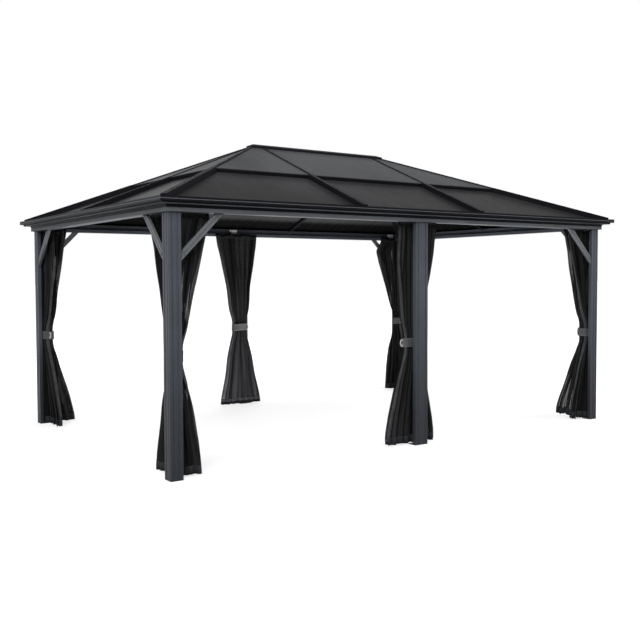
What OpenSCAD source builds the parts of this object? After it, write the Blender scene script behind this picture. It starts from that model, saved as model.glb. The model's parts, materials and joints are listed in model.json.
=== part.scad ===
// Six-post metal gazebo with a two-tier hip roof, a moulded cornice and tied-back insect nets.
// Millimetres, +Z up, the long side along X, the front facing -Y, origin on the ground under the ridge.

/* [Roof] */
// Length of the roof over the cornice
roof_l = 5430; // [4800:10:6200]
// Width of the roof over the cornice
roof_w = 3630; // [3200:10:4000]
// Height of the cornice lip above the ground
eave_z = 2208; // [2180:2:2400]
// Height of the ridge line, level with the tops of the roof caps
ridge_z = 2960; // [2800:5:3150]
// Length of the ridge from apex to apex
ridge_l = 1640; // [1500:10:1900]
// Distance between the two rafters on a long slope
rafter_pitch = 1448; // [900:2:1500]
// Share of the slope that the upper tier covers
upper_share = 0.5; // [0.4:0.01:0.6]
// Thickness of a roof panel
panel_t = 8; // [6:1:10]
// Depth of the lower panels below the tops of the caps
lower_recess = 45; // [35:1:55]
// Depth of the upper panels below the tops of the caps
upper_recess = 8; // [6:1:16]

/* [Roof bars] */
// Width of a hip rafter or a common rafter
rafter_w = 40; // [34:1:50]
// Depth of the rafters below the tops of the caps
rafter_d = 90; // [80:1:110]
// Width of the caps on the lower tier
lower_cap_w = 50; // [44:1:60]
// Width of the caps on the upper tier
upper_cap_w = 30; // [24:1:46]
// Distance from the cornice lip to the end of a lower cap
cap_setback = 44; // [35:1:60]
// Width of the ridge cap to each side
ridge_cap_w = 50; // [40:1:70]
// Height of the ridge cap above the other caps
ridge_cap_h = 14; // [8:1:18]
// Width of the ridge beam
ridge_beam_w = 60; // [50:1:76]
// Distance from an apex to the flats of its ridge hub
hub_r = 62; // [60:1:75]

/* [Cornice and beams] */
// Overhang of the cornice lip beyond the posts
overhang = 118; // [100:1:140]
// Height of the underside of the beams
beam_z = 2098; // [2050:1:2130]
// Height of a beam
beam_h = 88; // [80:1:92]
// Width of a beam
beam_w = 50; // [46:1:60]
// Width of the net track on the inside of a beam
track_w = 30; // [26:1:36]
// Height of the net track
track_h = 34; // [28:1:40]
// Gap where two lengths of beam or cornice meet
splice_gap = 1; // [0.5:0.5:3]

/* [Posts] */
// Width of each wing of a corner post
wing_w = 110; // [100:1:130]
// Thickness of the posts
post_t = 36; // [30:1:42]
// Width of a middle post
middle_w = 150; // [120:1:180]
// Thickness of a middle post
middle_t = 40; // [32:1:46]
// Width of the narrow grooves along a post
groove_w = 8; // [4:0.5:10]
// Width of the wide grooves along a corner post
wide_groove_w = 18; // [12:1:24]
// Depth of the grooves along a post
groove_d = 3; // [1:0.5:4]
// Distance from the edge of a post to the middle of its narrow groove
groove_at = 29; // [22:1:34]
// Distance from the edge of a corner post to the middle of its wide groove
wide_groove_at = 73; // [60:1:84]
// Thickness of the foot plates
foot_t = 6; // [5:1:10]
// Radius of the anchor holes
anchor_r = 5.5; // [4.5:0.5:7]
// Spacing of the two anchor holes of a foot
anchor_gap = 40; // [32:1:44]

/* [Braces] */
// Reach of a knee brace along the beam
brace_reach = 380; // [320:5:460]
// Width of a knee brace
brace_w = 50; // [40:1:60]
// Thickness of a knee brace
brace_t = 25; // [18:1:28]

/* [Nets] */
// Reach of a tied corner net along each beam
net_reach = 365; // [300:5:420]
// Half width of a tied middle net
middle_net_reach = 290; // [240:5:340]
// Half thickness of a net at the track
net_top_t = 30; // [24:1:34]
// Half thickness of a net at its hem
net_hem_t = 48; // [40:1:52]
// Radius of a corner net inside its tie
net_waist_r = 58; // [50:1:62]
// Radius of the round ends of a middle net inside its tie
middle_waist_r = 48; // [42:1:56]
// Half length of the flat sides of a middle net inside its tie
middle_waist_flat = 52; // [30:1:70]
// Height of the middle of the ties
tie_z = 968; // [900:1:1050]
// Height of a tie
tie_h = 92; // [70:1:110]
// Thickness of a tie
tie_t = 3; // [2:0.5:5]
// Height of the hems above the ground
hem_z = 14; // [10:1:30]

/* [Hidden] */

// Clearance between pieces that are seated on each other
seat = 0.3;
// Gap between two panels that meet under a cap
panel_gap = 6;
// A length beyond every piece, for cutting solids
far = 4000;
// Colours of the finishes
frame_colour = [0.23, 0.25, 0.28];
bar_colour = [0.10, 0.11, 0.12];
panel_colour = [0.28, 0.29, 0.31];
net_colour = [0.06, 0.06, 0.07];
tie_colour = [0.22, 0.23, 0.24];

// Posts
post_l = roof_l - 2 * overhang;
post_w = roof_w - 2 * overhang;

// Slopes: pitch angle, run in plan and length along the slope of the long and the end slopes
rise = ridge_z - eave_z;
long_run = roof_w / 2;
end_run = (roof_l - ridge_l) / 2;
function run_of(side) = is_long(side) ? long_run : end_run;
function pitch_of(side) = atan(rise / run_of(side));
function slope_l(side) = run_of(side) / cos(pitch_of(side));
function is_long(side) = side == "front" || side == "back";
function tier_s(side) = slope_l(side) * upper_share;

// Hips: plan angle, plan length and pitch
hip_plan = atan(long_run / end_run);
hip_run = norm([long_run, end_run]);
hip_pitch = atan(rise / hip_run);
hip_l = hip_run / cos(hip_pitch);
hip_tier = hip_l * upper_share;

// Fall of the long and the end slope across a hip, for each unit of distance from the hip
long_fall = tan(pitch_of("front")) * cos(hip_plan);
end_fall = tan(pitch_of("left")) * sin(hip_plan);

// Depths below the tops of the caps
lower_under = lower_recess + panel_t;
upper_under = upper_recess + panel_t;

// Places the children of a slope: x along the eave, -y down the slope from the ridge, z out of the slope.
module on_slope(side) {
  turn = side == "front" ? 0 : side == "right" ? 90 : side == "back" ? 180 : 270;
  apex = is_long(side) ? 0 : ridge_l / 2;
  rotate([0, 0, turn]) translate([0, -apex, ridge_z]) rotate([pitch_of(side), 0, 0]) children();
}

// Plan of one slope, drawn back from its hips and from the ridge by a gap.
module slope_plan(side, gap) {
  apex = ridge_l / 2;
  if (is_long(side)) {
    top = apex - gap / sin(hip_plan);
    corner = top + far / tan(hip_plan);
    lean = gap / tan(hip_plan);
    rotate(side == "front" ? 0 : 180)
      polygon([[-top - lean, -gap], [top + lean, -gap], [corner, -far], [-corner, -far]]);
  } else {
    tip = apex + gap / sin(hip_plan);
    half = (far - apex) * tan(hip_plan) - gap / cos(hip_plan);
    rotate(side == "left" ? 0 : 180) polygon([[-tip, 0], [-far, -half], [-far, half]]);
  }
}

// Keeps the part of the children that belongs to one slope.
module within_slope(side, gap) {
  intersection() {
    linear_extrude(far) slope_plan(side, gap);
    children();
  }
}

// A slab of one slope between two distances down the slope and two depths below the caps.
module slope_slab(side, from_s, to_s, top, bottom) {
  on_slope(side) translate([-far, -to_s, -bottom]) cube([2 * far, to_s - from_s, bottom - top]);
}

// Positions of the common rafters along a slope.
function rafters_of(side) = is_long(side) ? [-rafter_pitch / 2, rafter_pitch / 2] : [0];

// Strips along the common rafters of a slope, for parting what lies between them.
module rafter_strips(side, width) {
  for (x = rafters_of(side))
    on_slope(side) translate([x - width / 2, -far, -far / 2]) cube([width, 2 * far, far]);
}

// Repeats a front left corner at all four corners.
module at_corner(corner) {
  mirror([corner[0], 0, 0]) mirror([0, corner[1], 0]) children();
}
CORNERS = [[0, 0], [1, 0], [0, 1], [1, 1]];

// Roof panels of one tier of one slope, parted at the rafters.
module tier_panels(side, from_s, to_s, recess) {
  color(panel_colour) difference() {
    within_slope(side, panel_gap / 2) slope_slab(side, from_s, to_s, recess, recess + panel_t);
    rafter_strips(side, panel_gap);
  }
}

// Depth of the groove of a purlin that holds the top edge of the lower panels
purlin_groove = 8;
// Reach of the purlin over the lower panels
purlin_nose = 17;
// Half width of the foot of a purlin
purlin_half = 25;

module lower_panels(side) {
  eave_s = (run_of(side) - cap_setback) / cos(pitch_of(side));
  tier_panels(side, tier_s(side) - purlin_groove + seat, eave_s, lower_recess);
}

module upper_panels(side) {
  tier_panels(side, 0, tier_s(side) + purlin_nose, upper_recess);
}

// Purlin between the tiers: it grips the lower panels and carries the edge of the upper ones.
module purlin(side) {
  s = tier_s(side);
  profile = [
    [s - purlin_half, -rafter_d], [s + purlin_half, -rafter_d],
    [s + purlin_half, -lower_under - seat], [s - purlin_groove, -lower_under - seat],
    [s - purlin_groove, -lower_recess + seat], [s + purlin_nose, -lower_recess + seat],
    [s + purlin_nose, -upper_under - seat], [s - purlin_half, -upper_under - seat]
  ];
  color(bar_colour) difference() {
    within_slope(side, rafter_w / 2 + seat)
      on_slope(side) translate([far, 0, 0]) rotate([90, 0, -90]) linear_extrude(2 * far)
        polygon(profile);
    rafter_strips(side, rafter_w + 2 * seat);
  }
}

// Places a profile along the front left hip: x to the long slope, y up, from one distance to another.
module along_hip(from_l, to_l) {
  translate([-ridge_l / 2, 0, ridge_z]) rotate([0, 0, 180 + hip_plan]) rotate([0, hip_pitch, 0])
    translate([from_l, 0, 0]) rotate([90, 0, 90]) linear_extrude(to_l - from_l) children();
}

// Depth below the hip, across the hip, of a plane at a depth below the slopes.
function hip_depth(depth, x) =
  cos(hip_pitch) * (depth / cos(pitch_of("front")) + abs(x) * (x > 0 ? long_fall : end_fall));

// Removes what would reach into the ridge hubs, the ridge beam, the beams or the cornice.
module clear_of_frame() {
  difference() {
    children();
    for (end = [-1, 1]) translate([end * ridge_l / 2, 0, 0]) hub_prism(hub_r + seat, ridge_z * 2);
    translate([-ridge_l / 2, -ridge_beam_w / 2 - seat, 0])
      cube([ridge_l, ridge_beam_w + 2 * seat, ridge_z * 2]);
    difference() {
      translate([-far, -far, 0]) cube([2 * far, 2 * far, beam_z + beam_h + seat]);
      box_in_plan(post_l / 2 - beam_w - seat, post_w / 2 - beam_w - seat);
    }
    difference() {
      translate([-far, -far, 0]) cube([2 * far, 2 * far, far]);
      box_in_plan(post_l / 2 - seat, post_w / 2 - seat);
    }
  }
}

// A tall block that is centred on the origin in plan.
module box_in_plan(half_x, half_y) {
  translate([-half_x, -half_y, -far]) cube([2 * half_x, 2 * half_y, 3 * far]);
}

// Octagonal block whose flats face the bars that meet at an apex.
module hub_prism(flat_r, height) {
  rotate(22.5) cylinder(r = flat_r / cos(22.5), h = height, $fn = 8);
}

module hip_rafter_profile(under) {
  w = rafter_w / 2;
  bottom = -rafter_d * cos(hip_pitch) / cos(pitch_of("front"));
  polygon([
    [-w, bottom], [w, bottom], [w, -hip_depth(under + seat, w)],
    [0, -hip_depth(under + seat, 0)], [-w, -hip_depth(under + seat, -w)]
  ]);
}

module hip_rafters() {
  color(bar_colour) for (corner = CORNERS) at_corner(corner) {
    clear_of_frame() along_hip(0, hip_tier - seat) hip_rafter_profile(upper_under);
    clear_of_frame() along_hip(hip_tier + seat, hip_l) hip_rafter_profile(lower_under);
  }
}

module rafter_bar(x, side, from_s, to_s, top) {
  clear_of_frame() on_slope(side)
    translate([x - rafter_w / 2, -to_s, -rafter_d]) cube([rafter_w, to_s - from_s, rafter_d - top]);
}

SIDES = ["front", "back", "left", "right"];

module common_rafters() {
  color(bar_colour) for (side = SIDES, x = rafters_of(side)) {
    rafter_bar(x, side, 0, tier_s(side) - seat, upper_under + seat);
    rafter_bar(x, side, tier_s(side) + seat, slope_l(side), lower_under + seat);
  }
}

// Bevel along the top edges of the caps
cap_bevel = 3;

// Cap over a hip, with an underside that fits the panels of both slopes.
module hip_cap_profile(width, recess) {
  w = width / 2;
  polygon([
    [-w, -cap_bevel], [-w + cap_bevel, 0], [w - cap_bevel, 0], [w, -cap_bevel],
    [w, -hip_depth(recess - seat, w)], [0, -hip_depth(recess - seat, 0)],
    [-w, -hip_depth(recess - seat, -w)]
  ]);
}

module rafter_cap(x, side, from_s, to_s, width, recess) {
  w = width / 2;
  on_slope(side) translate([x, -from_s, 0]) rotate([90, 0, 0]) linear_extrude(to_s - from_s)
    polygon([
      [-w, -cap_bevel], [-w + cap_bevel, 0], [w - cap_bevel, 0], [w, -cap_bevel],
      [w, -recess + seat], [-w, -recess + seat]
    ]);
}

// Length of a hip tongue inside its cap
tongue_lap = 6;

// Tongue of a lower hip cap, which fills the step between the purlins under the upper panels.
module hip_tongue_profile() {
  w = rafter_w / 2;
  top = upper_under + seat;
  foot = lower_recess - seat;
  polygon([
    [-w, -hip_depth(top, -w)], [0, -hip_depth(top, 0)], [w, -hip_depth(top, w)],
    [w, -hip_depth(foot, w)], [0, -hip_depth(foot, 0)], [-w, -hip_depth(foot, -w)]
  ]);
}

module lower_caps() {
  color(bar_colour) {
    for (corner = CORNERS) at_corner(corner) {
      along_hip(hip_tier + purlin_nose, hip_l * (1 - cap_setback / long_run))
        hip_cap_profile(lower_cap_w, lower_recess);
      along_hip(hip_tier + seat, hip_tier + purlin_nose + tongue_lap) hip_tongue_profile();
    }
    for (side = SIDES, x = rafters_of(side))
      rafter_cap(x, side, tier_s(side) + purlin_nose + seat, slope_l(side) * (1 - cap_setback / run_of(side)),
        lower_cap_w, lower_recess);
  }
}

module upper_caps() {
  color(bar_colour) difference() {
    union() {
      for (corner = CORNERS) at_corner(corner)
        along_hip(0, hip_tier + purlin_nose - seat) hip_cap_profile(upper_cap_w, upper_recess);
      for (side = SIDES, x = rafters_of(side))
        rafter_cap(x, side, 0, tier_s(side) + purlin_nose, upper_cap_w, upper_recess);
    }
    box_in_plan(ridge_l / 2 + ridge_cap_w + seat, ridge_cap_w + seat);
  }
}

// Everything under all four slopes, down from a depth below the tops of the caps.
module under_roof(depth) {
  intersection() {
    slope_slab("front", -far, far, depth, far);
    slope_slab("back", -far, far, depth, far);
    slope_slab("left", -far, far, depth, far);
    slope_slab("right", -far, far, depth, far);
  }
}

// Ridge cap: a small hip roof that covers the upper edges of all the upper panels.
module ridge_cap() {
  color(bar_colour) intersection() {
    box_in_plan(ridge_l / 2 + ridge_cap_w, ridge_cap_w);
    difference() {
      under_roof(-ridge_cap_h);
      under_roof(upper_recess - seat);
    }
  }
}

module ridge_beam() {
  w = ridge_beam_w / 2;
  length = ridge_l - 2 * (hub_r + seat);
  top = (upper_under + seat) / cos(pitch_of("front"));
  fall = w * tan(pitch_of("front"));
  bottom = rafter_d / cos(pitch_of("front")) + fall;
  color(bar_colour) translate([-length / 2, 0, ridge_z]) rotate([90, 0, 90]) linear_extrude(length)
    polygon([[-w, -bottom], [w, -bottom], [w, -top - fall], [0, -top], [-w, -top - fall]]);
}

// Hubs that join the ridge beam, two hip rafters and an end rafter at each apex.
module ridge_hubs() {
  reach = hub_r / cos(22.5);
  top = (upper_under + seat) / cos(pitch_of("front")) + reach * tan(pitch_of("front"));
  bottom = rafter_d / cos(pitch_of("front")) + reach * tan(pitch_of("front"));
  color(bar_colour) for (end = [-1, 1])
    translate([end * ridge_l / 2, 0, ridge_z - bottom]) hub_prism(hub_r, bottom - top);
}

// Puts a section along one side: x inward from the given line, y up, mitred at the corners of the frame.
module mitred(side, half_l, half_w, splice) {
  half = is_long(side) ? half_l : half_w;
  line = is_long(side) ? half_w : half_l;
  turn = side == "front" ? 0 : side == "right" ? 90 : side == "back" ? 180 : 270;
  rotate([0, 0, turn]) difference() {
    intersection() {
      translate([half, -line, 0]) rotate([90, 0, -90]) mirror([1, 0, 0]) linear_extrude(2 * half) children();
      linear_extrude(far) polygon([
        [-half + seat / 2, -line], [half - seat / 2, -line], [0, half - line - seat / 2]
      ]);
    }
    if (splice) translate([-splice_gap / 2, -far, 0]) cube([splice_gap, 2 * far, far]);
  }
}

// Width of each of the two slots of the net track
slot_w = 6;

// Height of the seat under the lower panels of a slope, at a distance inward from the cornice lip.
function ledge_z(side, x) = eave_z + x * tan(pitch_of(side)) - (lower_under + seat) / cos(pitch_of(side));

// Beam with the net track on its inside: a box, and below it two slots that open downwards.
// Its top is planed off where the panels come down lower.
module beam_profile(side) {
  wall = (track_w - 2 * slot_w) / 3;
  inner = beam_w + track_w;
  difference() {
    union() {
      translate([0, beam_z]) square([beam_w, beam_h]);
      translate([0, beam_z]) square([inner, track_h]);
    }
    for (i = [0, 1])
      translate([beam_w + wall + i * (wall + slot_w), beam_z - 1]) square([slot_w, track_h / 2 + 1]);
    polygon([[-inner, ledge_z(side, overhang - inner)], [inner, ledge_z(side, overhang + inner)],
      [inner, ridge_z], [-inner, ridge_z]]);
  }
}

module beam(side) {
  color(frame_colour) mitred(side, post_l / 2, post_w / 2, is_long(side)) beam_profile(side);
}

// Thickness of the cornice lip
lip_t = 6;
// Height of the cornice lip
lip_h = 36;
// Wall of the cornice under its channel
cornice_wall = 7;
// Gap between the floor of the channel and the lower edge of the panels
channel_gap = 6;
// Depth of the step below the lip
step_in = 30;
// Bevel along the edge of the step
step_bevel = 4;
// Radius of the cove under the soffit
cove_r = 20;
// Reach of the lower fascia of the cornice in front of the posts
fascia_out = 25;
// Height of the foot of the fascia above the underside of the beams
fascia_lift = 1;
// Distance from the fascia to the inner wall of the channel
ledge_inset = 4;

// Heights of the floor of the channel, of the soffit under it and of the underside of the lip
channel_z = min(ledge_z("front", cap_setback), ledge_z("left", cap_setback)) - channel_gap;
soffit_z = channel_z - cornice_wall;
lip_under = eave_z - lip_h;

// Cornice section: a lip, a step, a soffit and a cove, with a channel behind the lip and a ledge for the panels.
module cornice_profile(side) {
  back = overhang - seat;
  fascia = overhang - fascia_out;
  ledge_in = fascia + ledge_inset;
  foot = beam_z + fascia_lift;
  cove = [for (a = [0 : 15 : 90]) [
    fascia - cove_r + cove_r * sin(a), soffit_z - cove_r + cove_r * cos(a)
  ]];
  polygon(concat(
    [
      [back, foot], [back, ledge_z(side, back)], [ledge_in, ledge_z(side, ledge_in)], [ledge_in, channel_z],
      [step_in + cornice_wall, channel_z], [step_in + cornice_wall, lip_under + cornice_wall],
      [lip_t, lip_under + cornice_wall], [lip_t, eave_z], [0, eave_z], [0, lip_under],
      [step_in - step_bevel, lip_under], [step_in, lip_under - step_bevel], [step_in, soffit_z]
    ],
    cove,
    [[fascia, foot]]
  ));
}

module cornice(side) {
  color(frame_colour) mitred(side, roof_l / 2, roof_w / 2, true) cornice_profile(side);
}

// A groove in a face that starts at the origin and runs along x.
module face_groove(at, width) {
  translate([at - width / 2, -width]) square([width, groove_d + width]);
}

// Bevel along the outer edge of a corner post
post_bevel = 6;

// L-shaped section with its outer corner at the origin.
module corner_post_profile() {
  difference() {
    polygon([
      [post_bevel, 0], [wing_w, 0], [wing_w, post_t], [post_t, post_t],
      [post_t, wing_w], [0, wing_w], [0, post_bevel]
    ]);
    for (turn = [0, 1]) mirror([turn, -turn]) {
      face_groove(groove_at, groove_w);
      face_groove(wide_groove_at, wide_groove_w);
    }
  }
}

module post_foot() {
  translate([-post_l / 2, -post_w / 2, 0]) children();
}

module corner_post(corner) {
  color(frame_colour) at_corner(corner) post_foot() translate([0, 0, foot_t]) linear_extrude(beam_z - foot_t)
    corner_post_profile();
}

// Position of a middle post on the front side, from its outer face.
module middle_foot() {
  translate([-middle_w / 2, -post_w / 2, 0]) children();
}

module middle_post(back) {
  color(frame_colour) mirror([0, back, 0]) middle_foot() translate([0, 0, foot_t]) linear_extrude(beam_z - foot_t)
    difference() {
      square([middle_w, middle_t]);
      face_groove(groove_at, groove_w);
      face_groove(middle_w - groove_at, groove_w);
    }
}

// Two anchor holes through a foot plate, in a line along x.
module anchor_holes(x, y) {
  for (i = [-1, 1])
    translate([x + i * anchor_gap / 2, y, -1]) cylinder(r = anchor_r, h = foot_t + 2, $fn = 32);
}

// Depth of the foot plate of a middle post
middle_foot_d = 105;

module foot_plates() {
  free = (post_t + wing_w) / 2;
  color(bar_colour) {
    for (corner = CORNERS) at_corner(corner) post_foot() difference() {
      cube([wing_w, wing_w, foot_t]);
      anchor_holes(free, free);
    }
    for (back = [0, 1]) mirror([0, back, 0]) middle_foot() difference() {
      cube([middle_w, middle_foot_d, foot_t]);
      anchor_holes(middle_w / 2, (post_t + middle_foot_d) / 2);
    }
  }
}

// Groove along the middle of a brace
brace_groove = 10;

// Knee brace from the edge of a wing up to the beam, in the plane of the wing.
module brace() {
  top = beam_z - seat;
  across = brace_w * sqrt(2);
  outer = (post_t - brace_t) / 2;
  translate([wing_w + seat, outer + brace_t, 0]) rotate([90, 0, 0]) difference() {
    linear_extrude(brace_t) polygon([
      [0, top - brace_reach], [brace_reach, top], [brace_reach - across, top], [0, top - brace_reach + across]
    ]);
    translate([(brace_reach - across / 2) / 2, top - (brace_reach - across / 2) / 2, brace_t - groove_d])
      rotate(45) translate([-far / 2, -brace_groove / 2, 0]) cube([far, brace_groove, groove_d + 1]);
  }
}

module braces(corner) {
  color(frame_colour) at_corner(corner) post_foot() {
    brace();
    mirror([1, -1, 0]) brace();
  }
}

// Nets. Each is tied to a waist and spreads towards the track above and the hem below.
// Height of the tops of the nets, at the mouth of the track
net_top_z = beam_z - seat;
// Gap between the nets and the inner faces of the posts
net_clear = 4;
// Gap between a tied waist and the inner faces of its post
waist_clear = 8;
// Points along one face of a net
net_steps = 12;
// Levels of a net: height, and how far it is drawn in towards its waist
net_levels = [
  [hem_z, 0], [hem_z + 0.2 * (tie_z - hem_z), 0.14], [hem_z + 0.55 * (tie_z - hem_z), 0.52],
  [hem_z + 0.8 * (tie_z - hem_z), 0.84], [tie_z - tie_h / 2 - 6, 1], [tie_z + tie_h / 2 + 6, 1],
  [tie_z + 0.3 * (net_top_z - tie_z), 0.8], [tie_z + 0.65 * (net_top_z - tie_z), 0.42],
  [tie_z + 0.9 * (net_top_z - tie_z), 0.1], [net_top_z, 0]
];

function mix(a, b, k) = a + (b - a) * k;
function smooth(k) = k * k * (3 - 2 * k);

// Half thickness of a net that isn't drawn in, at a height.
function open_t(z) = mix(net_hem_t, net_top_t, smooth(min(1, max(0, (z - hem_z) / (net_top_z - hem_z)))));

// A point on the path of a corner net, t from -1 on one beam to 1 on the other, and its outward direction.
function corner_path(t, in) = t < 0 ? [mix(in, net_reach, -t), in] : [in, mix(in, net_reach, t)];
function corner_out(t) = let (a = 45 + 45 * max(-1, min(1, t * 3))) [-sin(a), -cos(a)];

function middle_path(t, in) = [middle_w / 2 + t * middle_net_reach, in];
middle_out = [0, -1];

// Middles of the tied waists
corner_waist = [1, 1] * (post_t + net_waist_r + waist_clear);
middle_waist = [middle_w / 2, middle_t + middle_waist_r + waist_clear];

// Fine folds along a face, as a share of its thickness or of the radius of the waist.
function fold(i) = i % 2 == 0 ? 1 : 0.72;
function waist_fold(i) = i % 2 == 0 ? 1 : 0.91;

// Direction from a waist to a point: each face of the net takes half of the circle.
function waist_direction(t, face, facing) = let (a = facing - face * 84 * t + (face > 0 ? 180 : 0)) [cos(a), sin(a)];

// A point round a waist with two flat sides: the round ends are moved apart, and the points between follow.
function flat_waist(r, dir) = r * dir + [middle_waist_flat * max(-1, min(1, 2 * dir[0])), 0];

// A point of a net: open, it follows its path; drawn in, it lies on the outline of the waist.
function corner_point(t, i, face, pull, thick) = mix(
  corner_path(t, post_t + net_clear + thick) + corner_out(t) * face * thick * fold(i),
  corner_waist + net_waist_r * waist_fold(i) * waist_direction(t, face, 45),
  pull
);
function middle_point(t, i, face, pull, thick) = mix(
  middle_path(t, middle_t + net_clear + thick) + middle_out * face * thick * fold(i),
  middle_waist + flat_waist(middle_waist_r * waist_fold(i), waist_direction(-t, face, 90)),
  pull
);

// Outlines of a net at one level: along the outer face, and back along the inner one.
function corner_ring(pull, thick) = concat(
  [for (i = [0 : net_steps]) corner_point(-1 + 2 * i / net_steps, i, 1, pull, thick)],
  [for (i = [0 : net_steps]) corner_point(1 - 2 * i / net_steps, i, -1, pull, thick)]
);
function middle_ring(pull, thick) = concat(
  [for (i = [0 : net_steps]) middle_point(1 - 2 * i / net_steps, i, 1, pull, thick)],
  [for (i = [0 : net_steps]) middle_point(-1 + 2 * i / net_steps, i, -1, pull, thick)]
);

// Skin over rings of equal point counts. Each end is closed by strips between the two faces of the net.
module skin(rings, heights) {
  n = len(rings[0]);
  m = len(rings);
  last = (m - 1) * n;
  points = [for (j = [0 : m - 1], p = rings[j]) [p[0], p[1], heights[j]]];
  sides = [for (j = [0 : m - 2], i = [0 : n - 1]) let (k = (i + 1) % n)
    each [[j * n + i, (j + 1) * n + i, j * n + k], [j * n + k, (j + 1) * n + i, (j + 1) * n + k]]];
  bottom = [for (i = [0 : n / 2 - 2]) let (k = n - 1 - i) each [[i, i + 1, k], [i + 1, k - 1, k]]];
  top = [for (f = bottom) [last + f[0], last + f[2], last + f[1]]];
  polyhedron(points, concat(sides, bottom, top));
}

module corner_net(corner) {
  color(net_colour) at_corner(corner) post_foot()
    skin([for (l = net_levels) corner_ring(l[1], open_t(l[0]))], [for (l = net_levels) l[0]]);
}

module middle_net(back) {
  color(net_colour) mirror([0, back, 0]) middle_foot()
    skin([for (l = net_levels) middle_ring(l[1], open_t(l[0]))], [for (l = net_levels) l[0]]);
}

// Outline of a waist: round, or two half circles with a flat length between them.
module waist_outline(r, flat) {
  for (end = flat > 0 ? [-1, 1] : [0]) translate([end * flat, 0]) circle(r, $fn = 48);
  if (flat > 0) translate([-flat, -r]) square([2 * flat, 2 * r]);
}

// Tie: a band round the waist of a net.
module tie(centre, r, flat) {
  translate([centre[0], centre[1], tie_z - tie_h / 2]) linear_extrude(tie_h) difference() {
    waist_outline(r + seat + tie_t, flat);
    waist_outline(r + seat, flat);
  }
}

module net_ties() {
  color(tie_colour) {
    for (corner = CORNERS) at_corner(corner) post_foot() tie(corner_waist, net_waist_r, 0);
    for (back = [0, 1]) mirror([0, back, 0]) middle_foot() tie(middle_waist, middle_waist_r, middle_waist_flat);
  }
}

corner_post(CORNERS[0]);  // corner_post_front_left
corner_post(CORNERS[1]);  // corner_post_front_right
corner_post(CORNERS[2]);  // corner_post_back_left
corner_post(CORNERS[3]);  // corner_post_back_right
middle_post(0);  // middle_post_front
middle_post(1);  // middle_post_back
foot_plates();
beam("front");  // front_beam
beam("back");  // back_beam
beam("left");  // left_beam
beam("right");  // right_beam
cornice("front");  // front_cornice
cornice("back");  // back_cornice
cornice("left");  // left_cornice
cornice("right");  // right_cornice
braces(CORNERS[0]);  // braces_front_left
braces(CORNERS[1]);  // braces_front_right
braces(CORNERS[2]);  // braces_back_left
braces(CORNERS[3]);  // braces_back_right
ridge_beam();
ridge_hubs();
ridge_cap();
hip_rafters();
common_rafters();
lower_caps();
upper_caps();
purlin("front");  // front_purlin
purlin("back");  // back_purlin
purlin("left");  // left_purlin
purlin("right");  // right_purlin
lower_panels("front");  // front_lower_panels
upper_panels("front");  // front_upper_panels
lower_panels("back");  // back_lower_panels
upper_panels("back");  // back_upper_panels
lower_panels("left");  // left_lower_panels
upper_panels("left");  // left_upper_panels
lower_panels("right");  // right_lower_panels
upper_panels("right");  // right_upper_panels
corner_net(CORNERS[0]);  // net_front_left
corner_net(CORNERS[1]);  // net_front_right
corner_net(CORNERS[2]);  // net_back_left
corner_net(CORNERS[3]);  // net_back_right
middle_net(0);  // net_front_middle
middle_net(1);  // net_back_middle
net_ties();
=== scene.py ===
"""Dresses the solids of a metal gazebo with finishes, nets, ties and fasteners, and sets a stage."""

import json
import math
import random

import bpy
from mathutils import Matrix, Vector


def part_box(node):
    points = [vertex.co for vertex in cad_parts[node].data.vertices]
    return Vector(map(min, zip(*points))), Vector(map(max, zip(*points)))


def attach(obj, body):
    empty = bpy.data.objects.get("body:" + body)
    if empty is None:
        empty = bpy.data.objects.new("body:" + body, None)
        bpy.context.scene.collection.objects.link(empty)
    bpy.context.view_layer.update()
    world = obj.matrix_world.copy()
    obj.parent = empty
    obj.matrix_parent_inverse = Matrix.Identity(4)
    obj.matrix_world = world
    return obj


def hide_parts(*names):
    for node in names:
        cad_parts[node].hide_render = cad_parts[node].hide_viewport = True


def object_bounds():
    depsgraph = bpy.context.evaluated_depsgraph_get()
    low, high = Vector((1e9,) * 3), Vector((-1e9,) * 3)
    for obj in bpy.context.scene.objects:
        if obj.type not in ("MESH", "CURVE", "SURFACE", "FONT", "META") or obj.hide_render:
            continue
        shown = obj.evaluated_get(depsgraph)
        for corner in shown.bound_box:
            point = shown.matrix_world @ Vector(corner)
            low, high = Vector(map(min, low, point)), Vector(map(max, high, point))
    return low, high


bl_info = {
    "name": "Metal gazebo",
    "version": (1, 0, 0),
    "blender": (4, 5, 0),
    "location": "View3D > Sidebar > Gazebo",
    "description": "Finishes, nets and fasteners of a six-post metal gazebo",
    "category": "Object",
}

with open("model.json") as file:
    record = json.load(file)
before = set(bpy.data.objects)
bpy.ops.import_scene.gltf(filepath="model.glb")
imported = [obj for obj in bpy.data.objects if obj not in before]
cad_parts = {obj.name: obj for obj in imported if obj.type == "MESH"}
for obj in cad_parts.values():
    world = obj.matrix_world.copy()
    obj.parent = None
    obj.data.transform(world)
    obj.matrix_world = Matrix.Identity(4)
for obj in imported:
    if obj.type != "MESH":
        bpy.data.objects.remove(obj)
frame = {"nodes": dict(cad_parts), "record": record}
CAD_LOW, CAD_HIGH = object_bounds()

# Places that come from the solids, in metres
POST_LOW, POST_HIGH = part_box("corner_post_front_left")
MIDDLE_LOW, MIDDLE_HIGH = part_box("middle_post_front")
TIE_LOW, TIE_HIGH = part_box("net_ties")
HALF_LENGTH = -POST_LOW.x
HALF_WIDTH = -POST_LOW.y
FOOT_TOP = POST_LOW.z
BEAM_Z = POST_HIGH.z
WING = POST_HIGH.x - POST_LOW.x
MIDDLE_T = MIDDLE_HIGH.y - MIDDLE_LOW.y
CORNER_NET_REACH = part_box("net_front_left")[1].x - POST_LOW.x
MIDDLE_NET_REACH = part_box("net_front_middle")[1].x
HEM_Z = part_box("net_front_left")[0].z

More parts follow.
